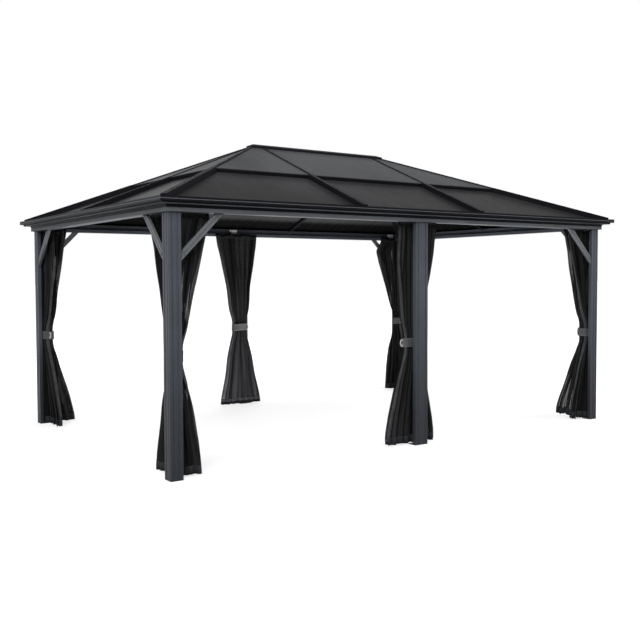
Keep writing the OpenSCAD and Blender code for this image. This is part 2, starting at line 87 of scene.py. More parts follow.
# Sizes that the solids are built from, in metres
POST_T = 0.036
BEAM_W = 0.050
BRACE_REACH = 0.380
BRACE_W = 0.050
BRACE_SET = 0.0055
BRACE_GAP = 0.0003
TRACK_LINE = 0.071
NET_LINE = 0.088
FASCIA_TOP_Z = 2.131
# Heights of the two painted highlight lines along the cornice lip
HIGHLIGHT_LINE_HEIGHTS = (2.157, 2.189)
RIDGE_Z = 2.960
EAVE_Z = 2.208
HALF_RIDGE = 0.820
RAFTER_X = 0.724
WAIST_GAP = 0.008
CORNER_WAIST_R = 0.058
MIDDLE_WAIST_R = 0.048
MIDDLE_WAIST_FLAT = 0.052

# Slides of the middle nets at the track, waist and hem, and their narrowing at the track, in metres
MIDDLE_SLIDES = {"front": (0.025, -0.05, -0.06, 0.045), "back": (0.11, 0.08, 0.07, 0.0)}

# How much wider the corner nets hang on the long and the short beam and at the hem, and their tuck, in metres
CORNER_SLIDES = {
    "front_left": (0.0, 0.17, 0.0, 0.0),
    "front_right": (0.0, 0.0, 0.0, 0.0),
    "back_left": (-0.07, 0.0, 0.07, 0.0),
    "back_right": (0.13, 0.0, 0.0, 0.15),
}
TUCK_DROP = 0.17

# Ground anchors, in metres, with heights over the foot plate
NUT_R = 0.0092
NUT_LOW = 0.0017
NUT_HIGH = 0.0062
WASHER_R = 0.0110
WASHER_T = 0.0015
STUD_R = 0.0048
STUD_LOW = 0.0005
STUD_HIGH = 0.0068
STUD_CHAMFER = 0.0008
STUD_CROWN = 0.0005

# Screws, in metres, and shares of the radius or height of a head or washer
FLANGE_R = 0.0062
FLANGE_LOW = -0.0004
FLANGE_HIGH = 0.0011
SCREW_R = 0.0043
SCREW_HIGH = 0.0042
SCREW_RIM = 0.0009
SCREW_DISH = 0.0005
HEX_CHAMFER = 0.18
HEX_TOP = 0.86
WASHER_RIM = 0.06
WASHER_CROWN = 0.1
BRACE_SCREW_OUT = 0.015
BRACE_SCREW_END = 0.034

# Shares of a slope between which the screws of the upper and the lower caps lie
CAP_SPANS = ((0.06, 0.49), (0.53, 0.96))
END_CAP_SPANS = ((0.08, 0.49), (0.53, 0.97))

# Lamp brackets on the back beam, in metres
BRACKET_PLACES = (-0.13, 2.41)
BRACKET_LOW = 0.037
BRACKET_HIGH = 0.084
BRACKET_W = 0.100
BRACKET_T = 0.003
BRACKET_SET = 0.0016
BRACKET_SLANT = 0.030
BRACKET_RIM = 0.0012
BRACKET_CROWN = 0.0008
BRACKET_MARGIN = 0.010
BRACKET_RISE = 0.004
BRACKET_SCREW_X = 0.020
BRACKET_SCREW_SET = 0.0040
BRACKET_SCREW_DROP = 0.0055

# Gliders of the nets, in metres, with heights over the foot of the track, and their end shares along a net
RUNNER_SIZE = (0.012, 0.005, 0.006)
RUNNER_Z = 0.005
RUNNER_BEVEL = 0.0012
NECK_R = 0.0016
NECK_LOW = -0.006
NECK_HIGH = 0.003
NECK_RIM = 0.0004
RING_R = 0.0055
RING_WIRE_R = 0.0011
RING_Z = -0.011
RING_DROP = 0.003
GLIDER_SPAN = (0.065, 0.935)

# Tapes, straps and hooks, in metres, and the turns of a strap round its waist
TAPE_T = 0.0016
STRAP_T = 0.0018
STRAP_MARGIN = 0.003
STRAP_GAP = 0.0008
STRAP_LAP = 0.0032
STRAP_CREASE = 0.0008
STRAP_FLARE = 0.0014
STRAP_SAG = 0.003
STRAP_TURNS = 1.12
STRAP_COLUMNS = 120
STRAP_ROWS = 10
HOOK_R = 0.018
HOOK_WIRE_R = 0.0048
HOOK_MOUTH_X = 0.012
HOOK_MOUTH_Z = 0.009
HOOK_OUT = 0.012

# Coats: range of roughness, specular level, wear of the edges and dust
COATS = {
    "Charcoal coat": ((0.40, 0.50), 0.14, 0.35, 0.10),
    "Brace coat": ((0.38, 0.48), 0.14, 0.3, 0.05),
    "Foot coat": ((0.42, 0.55), 0.4, 0.5, 0.5),
    "Black coat": ((0.42, 0.52), 0.02, 0.2, 0.006),
    "Screw coat": ((0.34, 0.46), 0.3, 0.6, 0.0),
    "Cap screw coat": ((0.42, 0.52), 0.02, 0.3, 0.0),
}

# Dust colours, and heights over the eaves where the painted shade on top of the sheets and the painted shade
# under them end, in metres
DUST = (0.19, 0.18, 0.165)
ROOF_DUST = (0.16, 0.155, 0.145)
EAVE_SHADE_TOP = 0.47
EAVE_SHADE_FOOT = 0.10
UNDER_SHADE_TOP = 0.120
UNDER_SHADE_FOOT = 0.068

# Angles under which faces are smoothed, in degrees
METAL_SMOOTHING = 32.0
GLIDER_SMOOTHING = 40.0
HOOK_SMOOTHING = 50.0

# First seeds of the nets and the ties
CORNER_NET_SEED = 11
MIDDLE_NET_SEED = 31
CORNER_TIE_SEED = 51
MIDDLE_TIE_SEED = 61

# Camera, in millimetres, shares of the frame and metres
SENSOR_WIDTH = 36.0
CAMERA_SHIFT = (0.0283, -0.0071)
CLIP_END = 500.0

# Floor, in metres, with its tone where it is seen and where it only sends light on
FLOOR_SIZE = 400.0
FLOOR_Z = -0.0005
FLOOR_TONE = 0.5
FLOOR_BOUNCE = 0.22

# White of the stage, and its lights: name, place, target, size and share of the key light's power
WHITE = (1.0, 1.0, 1.0, 1.0)
LIGHTS = (
    ("key_light", (-9.0, -7.5, 7.0), (0.0, 0.0, 1.4), 7.0, 1.0),
    ("fill_light", (8.0, -6.0, 5.0), (0.0, 0.0, 1.2), 6.0, 0.45),
    ("top_light", (0.0, 0.0, 9.5), (0.0, 0.0, 2.0), 8.0, 0.35),
    ("bounce_light", (0.0, 0.0, 0.05), (0.0, 0.0, 2.0), 3.2, 0.115),
    ("back_light", (6.0, 9.5, 6.0), (0.0, 0.0, 1.4), 6.0, 0.45),
)

# Groups of solids that share a finish
SIDES = ("front", "back", "left", "right")
LONG_SIDES = ("front", "back")
CORNERS = ("front_left", "front_right", "back_left", "back_right")
FRAME_NODES = [f"corner_post_{c}" for c in CORNERS]
FRAME_NODES += ["middle_post_front", "middle_post_back"] + [f"{s}_beam" for s in SIDES]
BRACE_NODES = [f"braces_{c}" for c in CORNERS]
BAR_NODES = ["ridge_beam", "ridge_hubs", "ridge_cap", "hip_rafters", "common_rafters"]
BAR_NODES += ["lower_caps", "upper_caps"] + [f"{s}_purlin" for s in SIDES]


class GazeboFinish(bpy.types.PropertyGroup):
    """Colours of the finishes."""

    frame: bpy.props.FloatVectorProperty(
        name="Frame", description="Charcoal powder coat of the posts and beams", subtype="COLOR",
        min=0.0, max=1.0, default=(0.060, 0.067, 0.081),
    )
    trim: bpy.props.FloatVectorProperty(
        name="Trim", description="Lighter coat of the braces and the fascia", subtype="COLOR",
        min=0.0, max=1.0, default=(0.120, 0.127, 0.136),
    )
    # Painted light: the lips of the end cornices are coloured lighter than the front and back lips, for the
    # light that falls on the ends
    end_lip_painted_light: bpy.props.FloatVectorProperty(
        name="End lip painted lighter", description="Cornice lip at the two ends, painted lighter for the light on the ends", subtype="COLOR",
        min=0.0, max=1.0, default=(0.036, 0.037, 0.040),
    )
    bars: bpy.props.FloatVectorProperty(
        name="Roof bars", description="Black coat of the roof bars and the cornice lip", subtype="COLOR",
        min=0.0, max=1.0, default=(0.008, 0.008, 0.010),
    )
    upper_panels: bpy.props.FloatVectorProperty(
        name="Upper panels", description="Grey of the upper roof panels", subtype="COLOR",
        min=0.0, max=1.0, default=(0.0335, 0.0345, 0.0375),
    )
    lower_panels: bpy.props.FloatVectorProperty(
        name="Lower panels", description="Grey of the lower roof panels", subtype="COLOR",
        min=0.0, max=1.0, default=(0.0205, 0.0205, 0.0220),
    )
    upper_backs: bpy.props.FloatVectorProperty(
        name="Upper backs", description="Back coat under the upper roof panels", subtype="COLOR",
        min=0.0, max=1.0, default=(0.110, 0.110, 0.112),
    )
    lower_backs: bpy.props.FloatVectorProperty(
        name="Lower backs", description="Back coat under the lower roof panels", subtype="COLOR",
        min=0.0, max=1.0, default=(0.045, 0.045, 0.045),
    )
    feet: bpy.props.FloatVectorProperty(
        name="Feet", description="Black coat of the foot plates", subtype="COLOR",
        min=0.0, max=1.0, default=(0.014, 0.014, 0.016),
    )
    net: bpy.props.FloatVectorProperty(
        name="Net", description="Black thread of the insect nets", subtype="COLOR",
        min=0.0, max=1.0, default=(0.014, 0.014, 0.015),
    )
    edge: bpy.props.FloatVectorProperty(
        name="Edge tapes", description="Grey tape down the edges of the nets", subtype="COLOR",
        min=0.0, max=1.0, default=(0.045, 0.046, 0.049),
    )
    band: bpy.props.FloatVectorProperty(
        name="Hems", description="Dark cloth of the hems", subtype="COLOR",
        min=0.0, max=1.0, default=(0.030, 0.031, 0.034),
    )
    tie: bpy.props.FloatVectorProperty(
        name="Ties", description="Grey cloth of the ties", subtype="COLOR",
        min=0.0, max=1.0, default=(0.072, 0.074, 0.076),
    )
    hook: bpy.props.FloatVectorProperty(
        name="Hooks", description="Pale plastic of the hooks", subtype="COLOR",
        min=0.0, max=1.0, default=(0.42, 0.42, 0.40),
    )
    glider: bpy.props.FloatVectorProperty(
        name="Gliders", description="Black plastic of the gliders", subtype="COLOR",
        min=0.0, max=1.0, default=(0.03, 0.03, 0.032),
    )
    bracket: bpy.props.FloatVectorProperty(
        name="Brackets", description="Pale coat of the lamp brackets", subtype="COLOR",
        min=0.0, max=1.0, default=(0.74, 0.74, 0.72),
    )


class GazeboNets(bpy.types.PropertyGroup):
    """Cut sizes of the insect nets."""

    corner_width: bpy.props.FloatProperty(
        name="Corner width", description="Width of a corner net before it is gathered", unit="LENGTH",
        min=2.0, max=4.0, default=3.0,
    )
    middle_width: bpy.props.FloatProperty(
        name="Middle width", description="Width of a middle net before it is gathered", unit="LENGTH",
        min=1.8, max=3.6, default=2.6,
    )
    hem: bpy.props.FloatProperty(
        name="Hem", description="Height of the hem band", unit="LENGTH", min=0.02, max=0.1, default=0.060,
    )
    header: bpy.props.FloatProperty(
        name="Header", description="Height of the tape along the top", unit="LENGTH",
        min=0.01, max=0.05, default=0.024,
    )
    drop: bpy.props.FloatProperty(
        name="Drop", description="Gap between the track and the top of a net", unit="LENGTH",
        min=0.003, max=0.03, default=0.005,
    )
    corner_pleats: bpy.props.IntProperty(
        name="Corner pleats", description="Pleats along the top of a corner net", min=8, max=40, default=30,
    )
    middle_pleats: bpy.props.IntProperty(
        name="Middle pleats", description="Pleats along the top of a middle net", min=8, max=40, default=27,
    )


class GazeboStage(bpy.types.PropertyGroup):
    """Camera and light of the stage."""

    camera: bpy.props.FloatVectorProperty(
        name="Camera", description="Place of the camera", subtype="TRANSLATION", unit="LENGTH",
        default=(-5.4568, -7.7561, 1.5881),
    )
    yaw: bpy.props.FloatProperty(
        name="Yaw", description="Turn of the camera away from the Y axis", subtype="ANGLE", default=0.5944,
    )
    pitch: bpy.props.FloatProperty(
        name="Pitch", description="Downward tilt of the camera", subtype="ANGLE", default=0.0444,
    )
    roll: bpy.props.FloatProperty(
        name="Roll", description="Roll of the camera", subtype="ANGLE", default=-0.0043,
    )
    lens: bpy.props.FloatProperty(
        name="Lens", description="Focal length in millimetres", min=20.0, max=120.0, default=48.36,
    )
    key: bpy.props.FloatProperty(
        name="Key light", description="Power of the key light in watts", min=0.0, max=5000.0, default=1150.0,
    )
    ambient: bpy.props.FloatProperty(
        name="Ambient", description="Strength of the light from all round", min=0.0, max=2.0, default=0.70,
    )


# Node helpers


def feed(tree, socket, value):
    """Links a socket to another one, or sets its value."""
    if isinstance(value, bpy.types.NodeSocket):
        tree.links.new(value, socket)
    else:
        socket.default_value = value


def add_node(tree, kind, settings=None, inputs=None):
    """Adds one node, sets its options, and sets or links its inputs."""
    node = tree.nodes.new(kind)
    for name, value in (settings or {}).items():
        setattr(node, name, value)
    for name, value in (inputs or {}).items():
        feed(tree, node.inputs[name], value)
    return node


def maths(tree, operation, first, second=0.0, clamp=False):
    """One Math node, and its result."""
    settings = {"operation": operation, "use_clamp": clamp}
    return add_node(tree, "ShaderNodeMath", settings, {0: first, 1: second}).outputs[0]


def spread(tree, value, low, high, to_low=0.0, to_high=1.0):
    """Maps a range of values to another with soft ends."""
    node = add_node(
        tree, "ShaderNodeMapRange", {"interpolation_type": "SMOOTHSTEP"},
        {"Value": value, "From Min": low, "From Max": high, "To Min": to_low, "To Max": to_high},
    )
    return node.outputs["Result"]


def noise(tree, vector, scale, detail=3.0, roughness=0.5):
    """One Noise Texture node, and its value."""
    node = add_node(
        tree, "ShaderNodeTexNoise", None,
        {"Vector": vector, "Scale": scale, "Detail": detail, "Roughness": roughness},
    )
    return node.outputs["Fac"]


def coordinates(tree, kind):
    """Texture coordinates of one kind."""
    return add_node(tree, "ShaderNodeTexCoord").outputs[kind]


def axis_of(tree, vector, axis):
    """One axis of a vector."""
    return add_node(tree, "ShaderNodeSeparateXYZ", None, {0: vector}).outputs[axis]


def upward(tree):
    """How far a surface faces up, from -1 to 1."""
    normal = add_node(tree, "ShaderNodeNewGeometry").outputs["Normal"]
    return axis_of(tree, normal, "Z")


def stretched(tree, vector, across, along):
    """A vector whose X and Y are scaled, and whose Z is dropped."""
    scale = add_node(tree, "ShaderNodeCombineXYZ", None, {"X": across, "Y": along, "Z": 0.0})
    inputs = {0: vector, 1: scale.outputs["Vector"]}
    return add_node(tree, "ShaderNodeVectorMath", {"operation": "MULTIPLY"}, inputs).outputs["Vector"]


def solid(colour, factor=1.0):
    """A colour with full alpha, made lighter or darker."""
    return (colour[0] * factor, colour[1] * factor, colour[2] * factor, 1.0)


def blend_colour(tree, factor, first, second):
    """Mixes two colours by a factor."""
    return add_node(tree, "ShaderNodeMix", {"data_type": "RGBA"}, {0: factor, 6: first, 7: second}).outputs[2]


def tint(tree, mask, strength, under, over):
    """Lays a colour over another where a mask is, at a strength."""
    return blend_colour(tree, maths(tree, "MULTIPLY", mask, strength), under, over)


def mottle(tree, mask, colour, darker, lighter):
    """A colour that goes from darker to lighter with a mask."""
    return blend_colour(tree, mask, solid(colour, darker), solid(colour, lighter))


def new_group(name, inputs, outputs):
    """Starts a shader node group: its tree, the float values that it is given and its float results."""
    tree = bpy.data.node_groups.new(name, "ShaderNodeTree")
    for label, value in inputs:
        socket = tree.interface.new_socket(label, in_out="INPUT", socket_type="NodeSocketFloat")
        socket.default_value = value
    for label in outputs:
        tree.interface.new_socket(label, in_out="OUTPUT", socket_type="NodeSocketFloat")
    start = tree.nodes.new("NodeGroupInput")
    end = tree.nodes.new("NodeGroupOutput")
    return tree, start.outputs, end.inputs


def use_group(tree, name, values):
    """Places a node group with its own values."""
    settings = {"node_tree": bpy.data.node_groups[name]}
    return add_node(tree, "ShaderNodeGroup", settings, values).outputs


def make_powder_group():
    """Fine orange peel of a powder coat, and broad patches of tone."""
    inputs = [("Grain scale", 700.0), ("Patch scale", 2.5), ("Patch detail", 6.0)]
    tree, given, result = new_group("Powder coat", inputs, ["Height", "Patch"])
    place = coordinates(tree, "Object")
    grain = noise(tree, place, given["Grain scale"], 2.0)
    patch = noise(tree, place, given["Patch scale"], given["Patch detail"], 0.6)
    feed(tree, result["Height"], grain)
    feed(tree, result["Patch"], spread(tree, patch, 0.3, 0.7))


def make_edge_group():
    """Rubbed edges: where the rounded normal leaves the true one, broken up by noise."""
    tree, given, result = new_group("Rubbed edges", [("Width", 0.003), ("Breakup", 40.0)], ["Mask"])
    place = coordinates(tree, "Object")
    rounded = add_node(tree, "ShaderNodeBevel", {"samples": 4}, {"Radius": given["Width"]}).outputs["Normal"]
    true_normal = add_node(tree, "ShaderNodeNewGeometry").outputs["Normal"]
    inputs = {0: rounded, 1: true_normal}
    agreement = add_node(tree, "ShaderNodeVectorMath", {"operation": "DOT_PRODUCT"}, inputs).outputs["Value"]
    edge = spread(tree, agreement, 0.99, 0.86)
    broken = spread(tree, noise(tree, place, given["Breakup"], 4.0, 0.65), 0.42, 0.62)
    feed(tree, result["Mask"], maths(tree, "MULTIPLY", edge, broken, True))


def make_recess_group():
    """Painted shade, with some grime: darker in grooves and inner corners, where ambient occlusion finds them
    hidden.
    """
    tree, given, result = new_group("Recess shade and grime", [("Reach", 0.012)], ["Mask"])
    place = coordinates(tree, "Object")
    inputs = {"Distance": given["Reach"]}
    hidden = add_node(tree, "ShaderNodeAmbientOcclusion", {"samples": 6}, inputs).outputs["AO"]
    deep = spread(tree, hidden, 0.92, 0.45)
    uneven = spread(tree, noise(tree, place, 22.0, 4.0, 0.6), 0.25, 0.6, 0.65, 1.0)
    feed(tree, result["Mask"], maths(tree, "MULTIPLY", deep, uneven, True))


def make_dust_group():
    """Dust that settles on what faces up, in uneven patches."""
    tree, given, result = new_group("Settled dust", [("Scale", 9.0)], ["Mask"])
    place = coordinates(tree, "Object")
    flat = spread(tree, upward(tree), 0.3, 0.95)
    patch = spread(tree, noise(tree, place, given["Scale"], 7.0, 0.65), 0.38, 0.72)
    feed(tree, result["Mask"], maths(tree, "MULTIPLY", flat, patch, True))


def make_low_shade_group():
    """Painted shade that is deepest below and thins out unevenly with height."""
    tree, given, result = new_group("Painted shade from below", [("Top", 1.8), ("Foot", 0.1)], ["Mask"])
    place = coordinates(tree, "Object")
    drift = maths(tree, "MULTIPLY", noise(tree, place, 5.0, 5.0, 0.6), 0.25)
    uneven = maths(tree, "ADD", axis_of(tree, place, "Z"), drift)
    feed(tree, result["Mask"], spread(tree, uneven, given["Top"], given["Foot"]))


def make_rain_group():
    """Rain marks that run down a slope, drawn out along one axis of the object."""
    inputs = [("Along X", 1.0), ("Along Y", 1.0), ("Scale", 6.0)]
    tree, given, result = new_group("Rain marks", inputs, ["Mask"])
    drawn = stretched(tree, coordinates(tree, "Object"), given["Along X"], given["Along Y"])
    marks = noise(tree, drawn, given["Scale"], 5.0, 0.6)
    feed(tree, result["Mask"], spread(tree, marks, 0.35, 0.75))


def make_weave_group():
    """Open weave of threads along the two directions of a cloth."""
    inputs = [("Across", 900.0), ("Along", 700.0), ("Thread", 0.3)]
    tree, given, result = new_group("Open weave", inputs, ["Thread"])
    uv = coordinates(tree, "UV")
    masks = []
    for axis, count in (("X", "Across"), ("Y", "Along")):
        wave = maths(tree, "PINGPONG", maths(tree, "MULTIPLY", axis_of(tree, uv, axis), given[count]), 0.5)
        masks.append(spread(tree, wave, given["Thread"], 0.0))
    feed(tree, result["Thread"], maths(tree, "MAXIMUM", masks[0], masks[1], True))


def make_fold_shade_group():
    """Streaks of painted light and shade that run down a cloth from top to hem, in place of lit fold crests
    and shaded hollows.
    """
    tree, given, result = new_group("Painted fold light and shade", [("Folds", 12.0), ("Drift", 0.8)], ["Mask"])
    drawn = stretched(tree, coordinates(tree, "UV"), given["Folds"], given["Drift"])
    feed(tree, result["Mask"], spread(tree, noise(tree, drawn, 1.0, 2.0, 0.5), 0.36, 0.64))


def make_twill_group():
    """Close weave of a tape or strap: fine ribs across the cloth."""
    tree, given, result = new_group("Close weave", [("Across", 900.0), ("Along", 40.0)], ["Height"])
    uv = coordinates(tree, "UV")
    ribs = []
    for axis, count in (("X", "Across"), ("Y", "Along")):
        ribs.append(maths(tree, "SINE", maths(tree, "MULTIPLY", axis_of(tree, uv, axis), given[count])))
    feed(tree, result["Height"], maths(tree, "MULTIPLY", ribs[0], ribs[1]))


def make_stitch_group():
    """A row of stitches along a cloth, at one place across it."""
    inputs = [("Count", 120.0), ("Row", 0.1), ("Half width", 0.02)]
    tree, given, result = new_group("Stitches", inputs, ["Mask"])
    uv = coordinates(tree, "UV")
    steps = maths(tree, "PINGPONG", maths(tree, "MULTIPLY", axis_of(tree, uv, "X"), given["Count"]), 0.5)
    away = maths(tree, "ABSOLUTE", maths(tree, "SUBTRACT", axis_of(tree, uv, "Y"), given["Row"]))
    row = spread(tree, away, given["Half width"], 0.0)
    feed(tree, result["Mask"], maths(tree, "MULTIPLY", spread(tree, steps, 0.08, 0.16), row, True))


def make_groups():
    """Builds every shared effect once."""
    if "Powder coat" in bpy.data.node_groups:
        return
    make_powder_group()
    make_edge_group()
    make_recess_group()
    make_dust_group()
    make_low_shade_group()
    make_rain_group()
    make_weave_group()
    make_fold_shade_group()
    make_twill_group()
    make_stitch_group()


# Materials


def new_material(name, values):
    """Starts a material: its tree and its main shader with the plain values set."""
    make_groups()
    material = bpy.data.materials.new(name)
    material.use_nodes = True
    tree = material.node_tree
    tree.nodes.clear()
    shader = tree.nodes.new("ShaderNodeBsdfPrincipled")
    output = tree.nodes.new("ShaderNodeOutputMaterial")
    tree.links.new(shader.outputs["BSDF"], output.inputs["Surface"])
    for label, value in values.items():
        shader.inputs[label].default_value = value
    return material, tree, shader.inputs


def raise_cloth(tree, surface, height, strength, distance):
    """Bumps a cloth with a height."""
    inputs = {"Strength": strength, "Distance": distance, "Height": height}
    feed(tree, surface["Normal"], add_node(tree, "ShaderNodeBump", None, inputs).outputs["Normal"])


def raise_coat(tree, surface, height, strength, distance, radius):
    """Bumps a surface with a height, and rounds its edges a little."""
    rounded = add_node(tree, "ShaderNodeBevel", {"samples": 4}, {"Radius": radius}).outputs["Normal"]
    inputs = {"Strength": strength, "Distance": distance, "Height": height, "Normal": rounded}
    feed(tree, surface["Normal"], add_node(tree, "ShaderNodeBump", None, inputs).outputs["Normal"])


def coat_material(name, colour):
    """Powder coat on metal: orange peel, patches of tone, rubbed edges, painted shade with some grime in
    recesses, painted shade towards the foot, and a little dust.
    """
    rough, specular, wear, dust = COATS[name]
    material, tree, surface = new_material(name, {"Specular IOR Level": specular})
    powder = use_group(tree, "Powder coat", {"Grain scale": 650.0, "Patch scale": 2.2})
    edges = use_group(tree, "Rubbed edges", {"Width": 0.003, "Breakup": 45.0})
    settled = use_group(tree, "Settled dust", {"Scale": 7.0})
    recess = use_group(tree, "Recess shade and grime", {"Reach": 0.012})
    low_shade = use_group(tree, "Painted shade from below", {})
    clean = mottle(tree, powder["Patch"], colour, 0.9, 1.1)
    # Painted shade, with some grime: darker in grooves and inner corners
    shaded = tint(tree, recess["Mask"], 0.8, clean, solid(colour, 0.22))
    # Painted shade: darker towards the foot of the posts
    low_shaded = blend_colour(tree, low_shade["Mask"], shaded, solid(colour, 0.42))
    worn = tint(tree, edges["Mask"], wear, low_shaded, solid(colour, 2.6))
    feed(tree, surface["Base Color"], tint(tree, settled["Mask"], dust, worn, solid(DUST)))
    feed(tree, surface["Roughness"], spread(tree, powder["Patch"], 0.0, 1.0, *rough))
    raise_coat(tree, surface, powder["Height"], strength=0.12, distance=0.0006, radius=0.0016)
    return material


def cornice_material(name, upper, lower):
    """Cornice coat: black above and lighter on the fascia, with two painted highlight lines along the lip
    that are also raised a little in the bump.
    """
    material, tree, surface = new_material(name, {"Specular IOR Level": 0.02})
    powder = use_group(tree, "Powder coat", {"Grain scale": 650.0, "Patch scale": 2.2})
    edges = use_group(tree, "Rubbed edges", {"Width": 0.003, "Breakup": 45.0})
    height = axis_of(tree, coordinates(tree, "Object"), "Z")
    above = maths(tree, "GREATER_THAN", height, FASCIA_TOP_Z)
    dark = mottle(tree, powder["Patch"], upper, 0.9, 1.1)
    light = mottle(tree, powder["Patch"], lower, 0.9, 1.1)
    tone = blend_colour(tree, above, light, dark)
    highlight_lines = []
    # Two painted highlight lines along the lip
    for line_z in HIGHLIGHT_LINE_HEIGHTS:
        away = maths(tree, "ABSOLUTE", maths(tree, "SUBTRACT", height, line_z))
        highlight_lines.append(spread(tree, away, 0.0030, 0.0014))
    highlight_line = maths(tree, "MAXIMUM", highlight_lines[0], highlight_lines[1])
    highlighted = tint(tree, highlight_line, 0.75, tone, solid(lower, 1.3))
    feed(tree, surface["Base Color"], tint(tree, edges["Mask"], 0.12, highlighted, solid(lower, 1.6)))
    feed(tree, surface["Roughness"], spread(tree, powder["Patch"], 0.0, 1.0, 0.40, 0.50))
    raised = maths(tree, "ADD", maths(tree, "MULTIPLY", powder["Height"], 0.15), highlight_line)
    raise_coat(tree, surface, raised, strength=0.5, distance=0.0010, radius=0.0022)
    return material


def panel_material(name, colour, back, roughness, specular, along):
    """Roof sheet: satin grey with rain marks, painted shade towards the eaves and dust above, and a back coat
    with painted shade at the eaves.
    """
    material, tree, surface = new_material(name, {"Specular IOR Level": specular})
    powder = use_group(tree, "Powder coat", {"Grain scale": 420.0, "Patch scale": 0.8, "Patch detail": 1.0})
    rain = use_group(tree, "Rain marks", {"Along X": along[0], "Along Y": along[1], "Scale": 3.0})
    settled = use_group(tree, "Settled dust", {"Scale": 3.0})
    low_shade = use_group(tree, "Painted shade from below", {"Top": EAVE_Z + EAVE_SHADE_TOP, "Foot": EAVE_Z + EAVE_SHADE_FOOT})
    tone = mottle(tree, powder["Patch"], colour, 0.70, 1.30)
    marked = tint(tree, rain["Mask"], 0.10, tone, solid(colour, 1.7))
    # Painted shade: the top of the sheets is darker towards the eaves
    low_shaded = tint(tree, low_shade["Mask"], 0.7, marked, solid(colour, 0.5))
    dusty = tint(tree, settled["Mask"], 0.008, low_shaded, solid(ROOF_DUST))
    height = axis_of(tree, coordinates(tree, "Object"), "Z")
    # Painted shade: the back of the sheets is dark along the eaves under the roof
    under_shade = spread(tree, height, EAVE_Z + UNDER_SHADE_TOP, EAVE_Z + UNDER_SHADE_FOOT)
    backed = blend_colour(tree, under_shade, mottle(tree, powder["Patch"], back, 0.85, 1.1), solid(back, 0.12))
    below = maths(tree, "LESS_THAN", upward(tree), -0.5)
    feed(tree, surface["Base Color"], blend_colour(tree, below, dusty, backed))
    feed(tree, surface["Roughness"], spread(tree, rain["Mask"], 0.0, 1.0, roughness, roughness + 0.06))
    raise_coat(tree, surface, powder["Height"], strength=0.01, distance=0.0005, radius=0.0012)
    return material


def net_material(name, colour, across, along):
    """Insect net: black threads with open cells between them."""
    material, tree, surface = new_material(name, {"Roughness": 0.9, "Specular IOR Level": 0.0})
    weave = use_group(tree, "Open weave", {"Across": across, "Along": along, "Thread": 0.42})
    fold_shade = use_group(tree, "Painted fold light and shade", {"Folds": 13.0, "Drift": 0.8})
    # Painted light and shade: the thread is lighter and darker in streaks that stand for the folds
    feed(tree, surface["Base Color"], mottle(tree, fold_shade["Mask"], colour, 0.5, 2.2))
    feed(tree, surface["Alpha"], spread(tree, weave["Thread"], 0.0, 1.0, 0.68, 0.98))
    raise_cloth(tree, surface, weave["Thread"], strength=0.3, distance=0.0004)
    return material


def cloth_material(name, colour, across=3600.0, along=2600.0, stitch_rows=(), stitch_count=0.0):
    """Close-woven tape or strap, with rows of stitches if it has any."""
    material, tree, surface = new_material(name, {"Roughness": 0.9, "Specular IOR Level": 0.04})
    weave = use_group(tree, "Close weave", {"Across": across, "Along": along})
    powder = use_group(tree, "Powder coat", {"Grain scale": 90.0, "Patch scale": 11.0})
    tone = mottle(tree, powder["Patch"], colour, 0.8, 1.2)
    height = maths(tree, "MULTIPLY", weave["Height"], 0.5)
    for row in stitch_rows:
        stitches = use_group(tree, "Stitches", {"Count": stitch_count, "Row": row, "Half width": 0.022})
        tone = blend_colour(tree, stitches["Mask"], tone, solid(colour, 2.1))
        height = maths(tree, "ADD", height, stitches["Mask"])
    feed(tree, surface["Base Color"], tone)
    raise_cloth(tree, surface, height, strength=0.5, distance=0.0006)
    return material


def plastic_material(name, colour):
    """Moulded plastic with a faint sheen and a fine grain."""
    material, tree, surface = new_material(name, {"Specular IOR Level": 0.45})
    powder = use_group(tree, "Powder coat", {"Grain scale": 1500.0, "Patch scale": 30.0})
    feed(tree, surface["Base Color"], mottle(tree, powder["Patch"], colour, 0.85, 1.1))
    feed(tree, surface["Roughness"], spread(tree, powder["Patch"], 0.0, 1.0, 0.34, 0.5))
    raise_coat(tree, surface, powder["Height"], strength=0.08, distance=0.0003, radius=0.0006)
    return material


def zinc_material(name):
    """Zinc-plated steel with a spangle and rubbed edges."""
    material, tree, surface = new_material(name, {"Metallic": 1.0})
    powder = use_group(tree, "Powder coat", {"Grain scale": 2200.0, "Patch scale": 160.0})
    edges = use_group(tree, "Rubbed edges", {"Width": 0.0008, "Breakup": 400.0})
    tone = blend_colour(tree, powder["Patch"], (0.30, 0.30, 0.31, 1.0), (0.46, 0.46, 0.47, 1.0))
    feed(tree, surface["Base Color"], blend_colour(tree, edges["Mask"], tone, (0.66, 0.66, 0.66, 1.0)))
    feed(tree, surface["Roughness"], spread(tree, powder["Patch"], 0.0, 1.0, 0.32, 0.5))
    raise_coat(tree, surface, powder["Height"], strength=0.1, distance=0.0002, radius=0.0004)
    return material


def dress(node_names, material):
    """Gives solids a material."""
    for name in node_names:
        node = frame["nodes"][name]
        if not node.material_slots:
            node.data.materials.append(material)
        for slot in node.material_slots:
            slot.material = material


# Modelling helpers


def clear_selection():
    """Leaves edit mode and deselects everything."""
    if bpy.context.mode != "OBJECT":
        bpy.ops.object.mode_set(mode="OBJECT")
    bpy.ops.object.select_all(action="DESELECT")


def make_active(piece):
    """Selects one piece alone and makes it the active one."""
    clear_selection()
    piece.select_set(True)
    bpy.context.view_layer.objects.active = piece


def settle(name):
    """Names the active object and puts its place in its mesh."""
    piece = bpy.context.active_object
    piece.name = name
    piece.data.name = name
    bpy.ops.object.transform_apply(location=True, rotation=True, scale=True)
    return piece


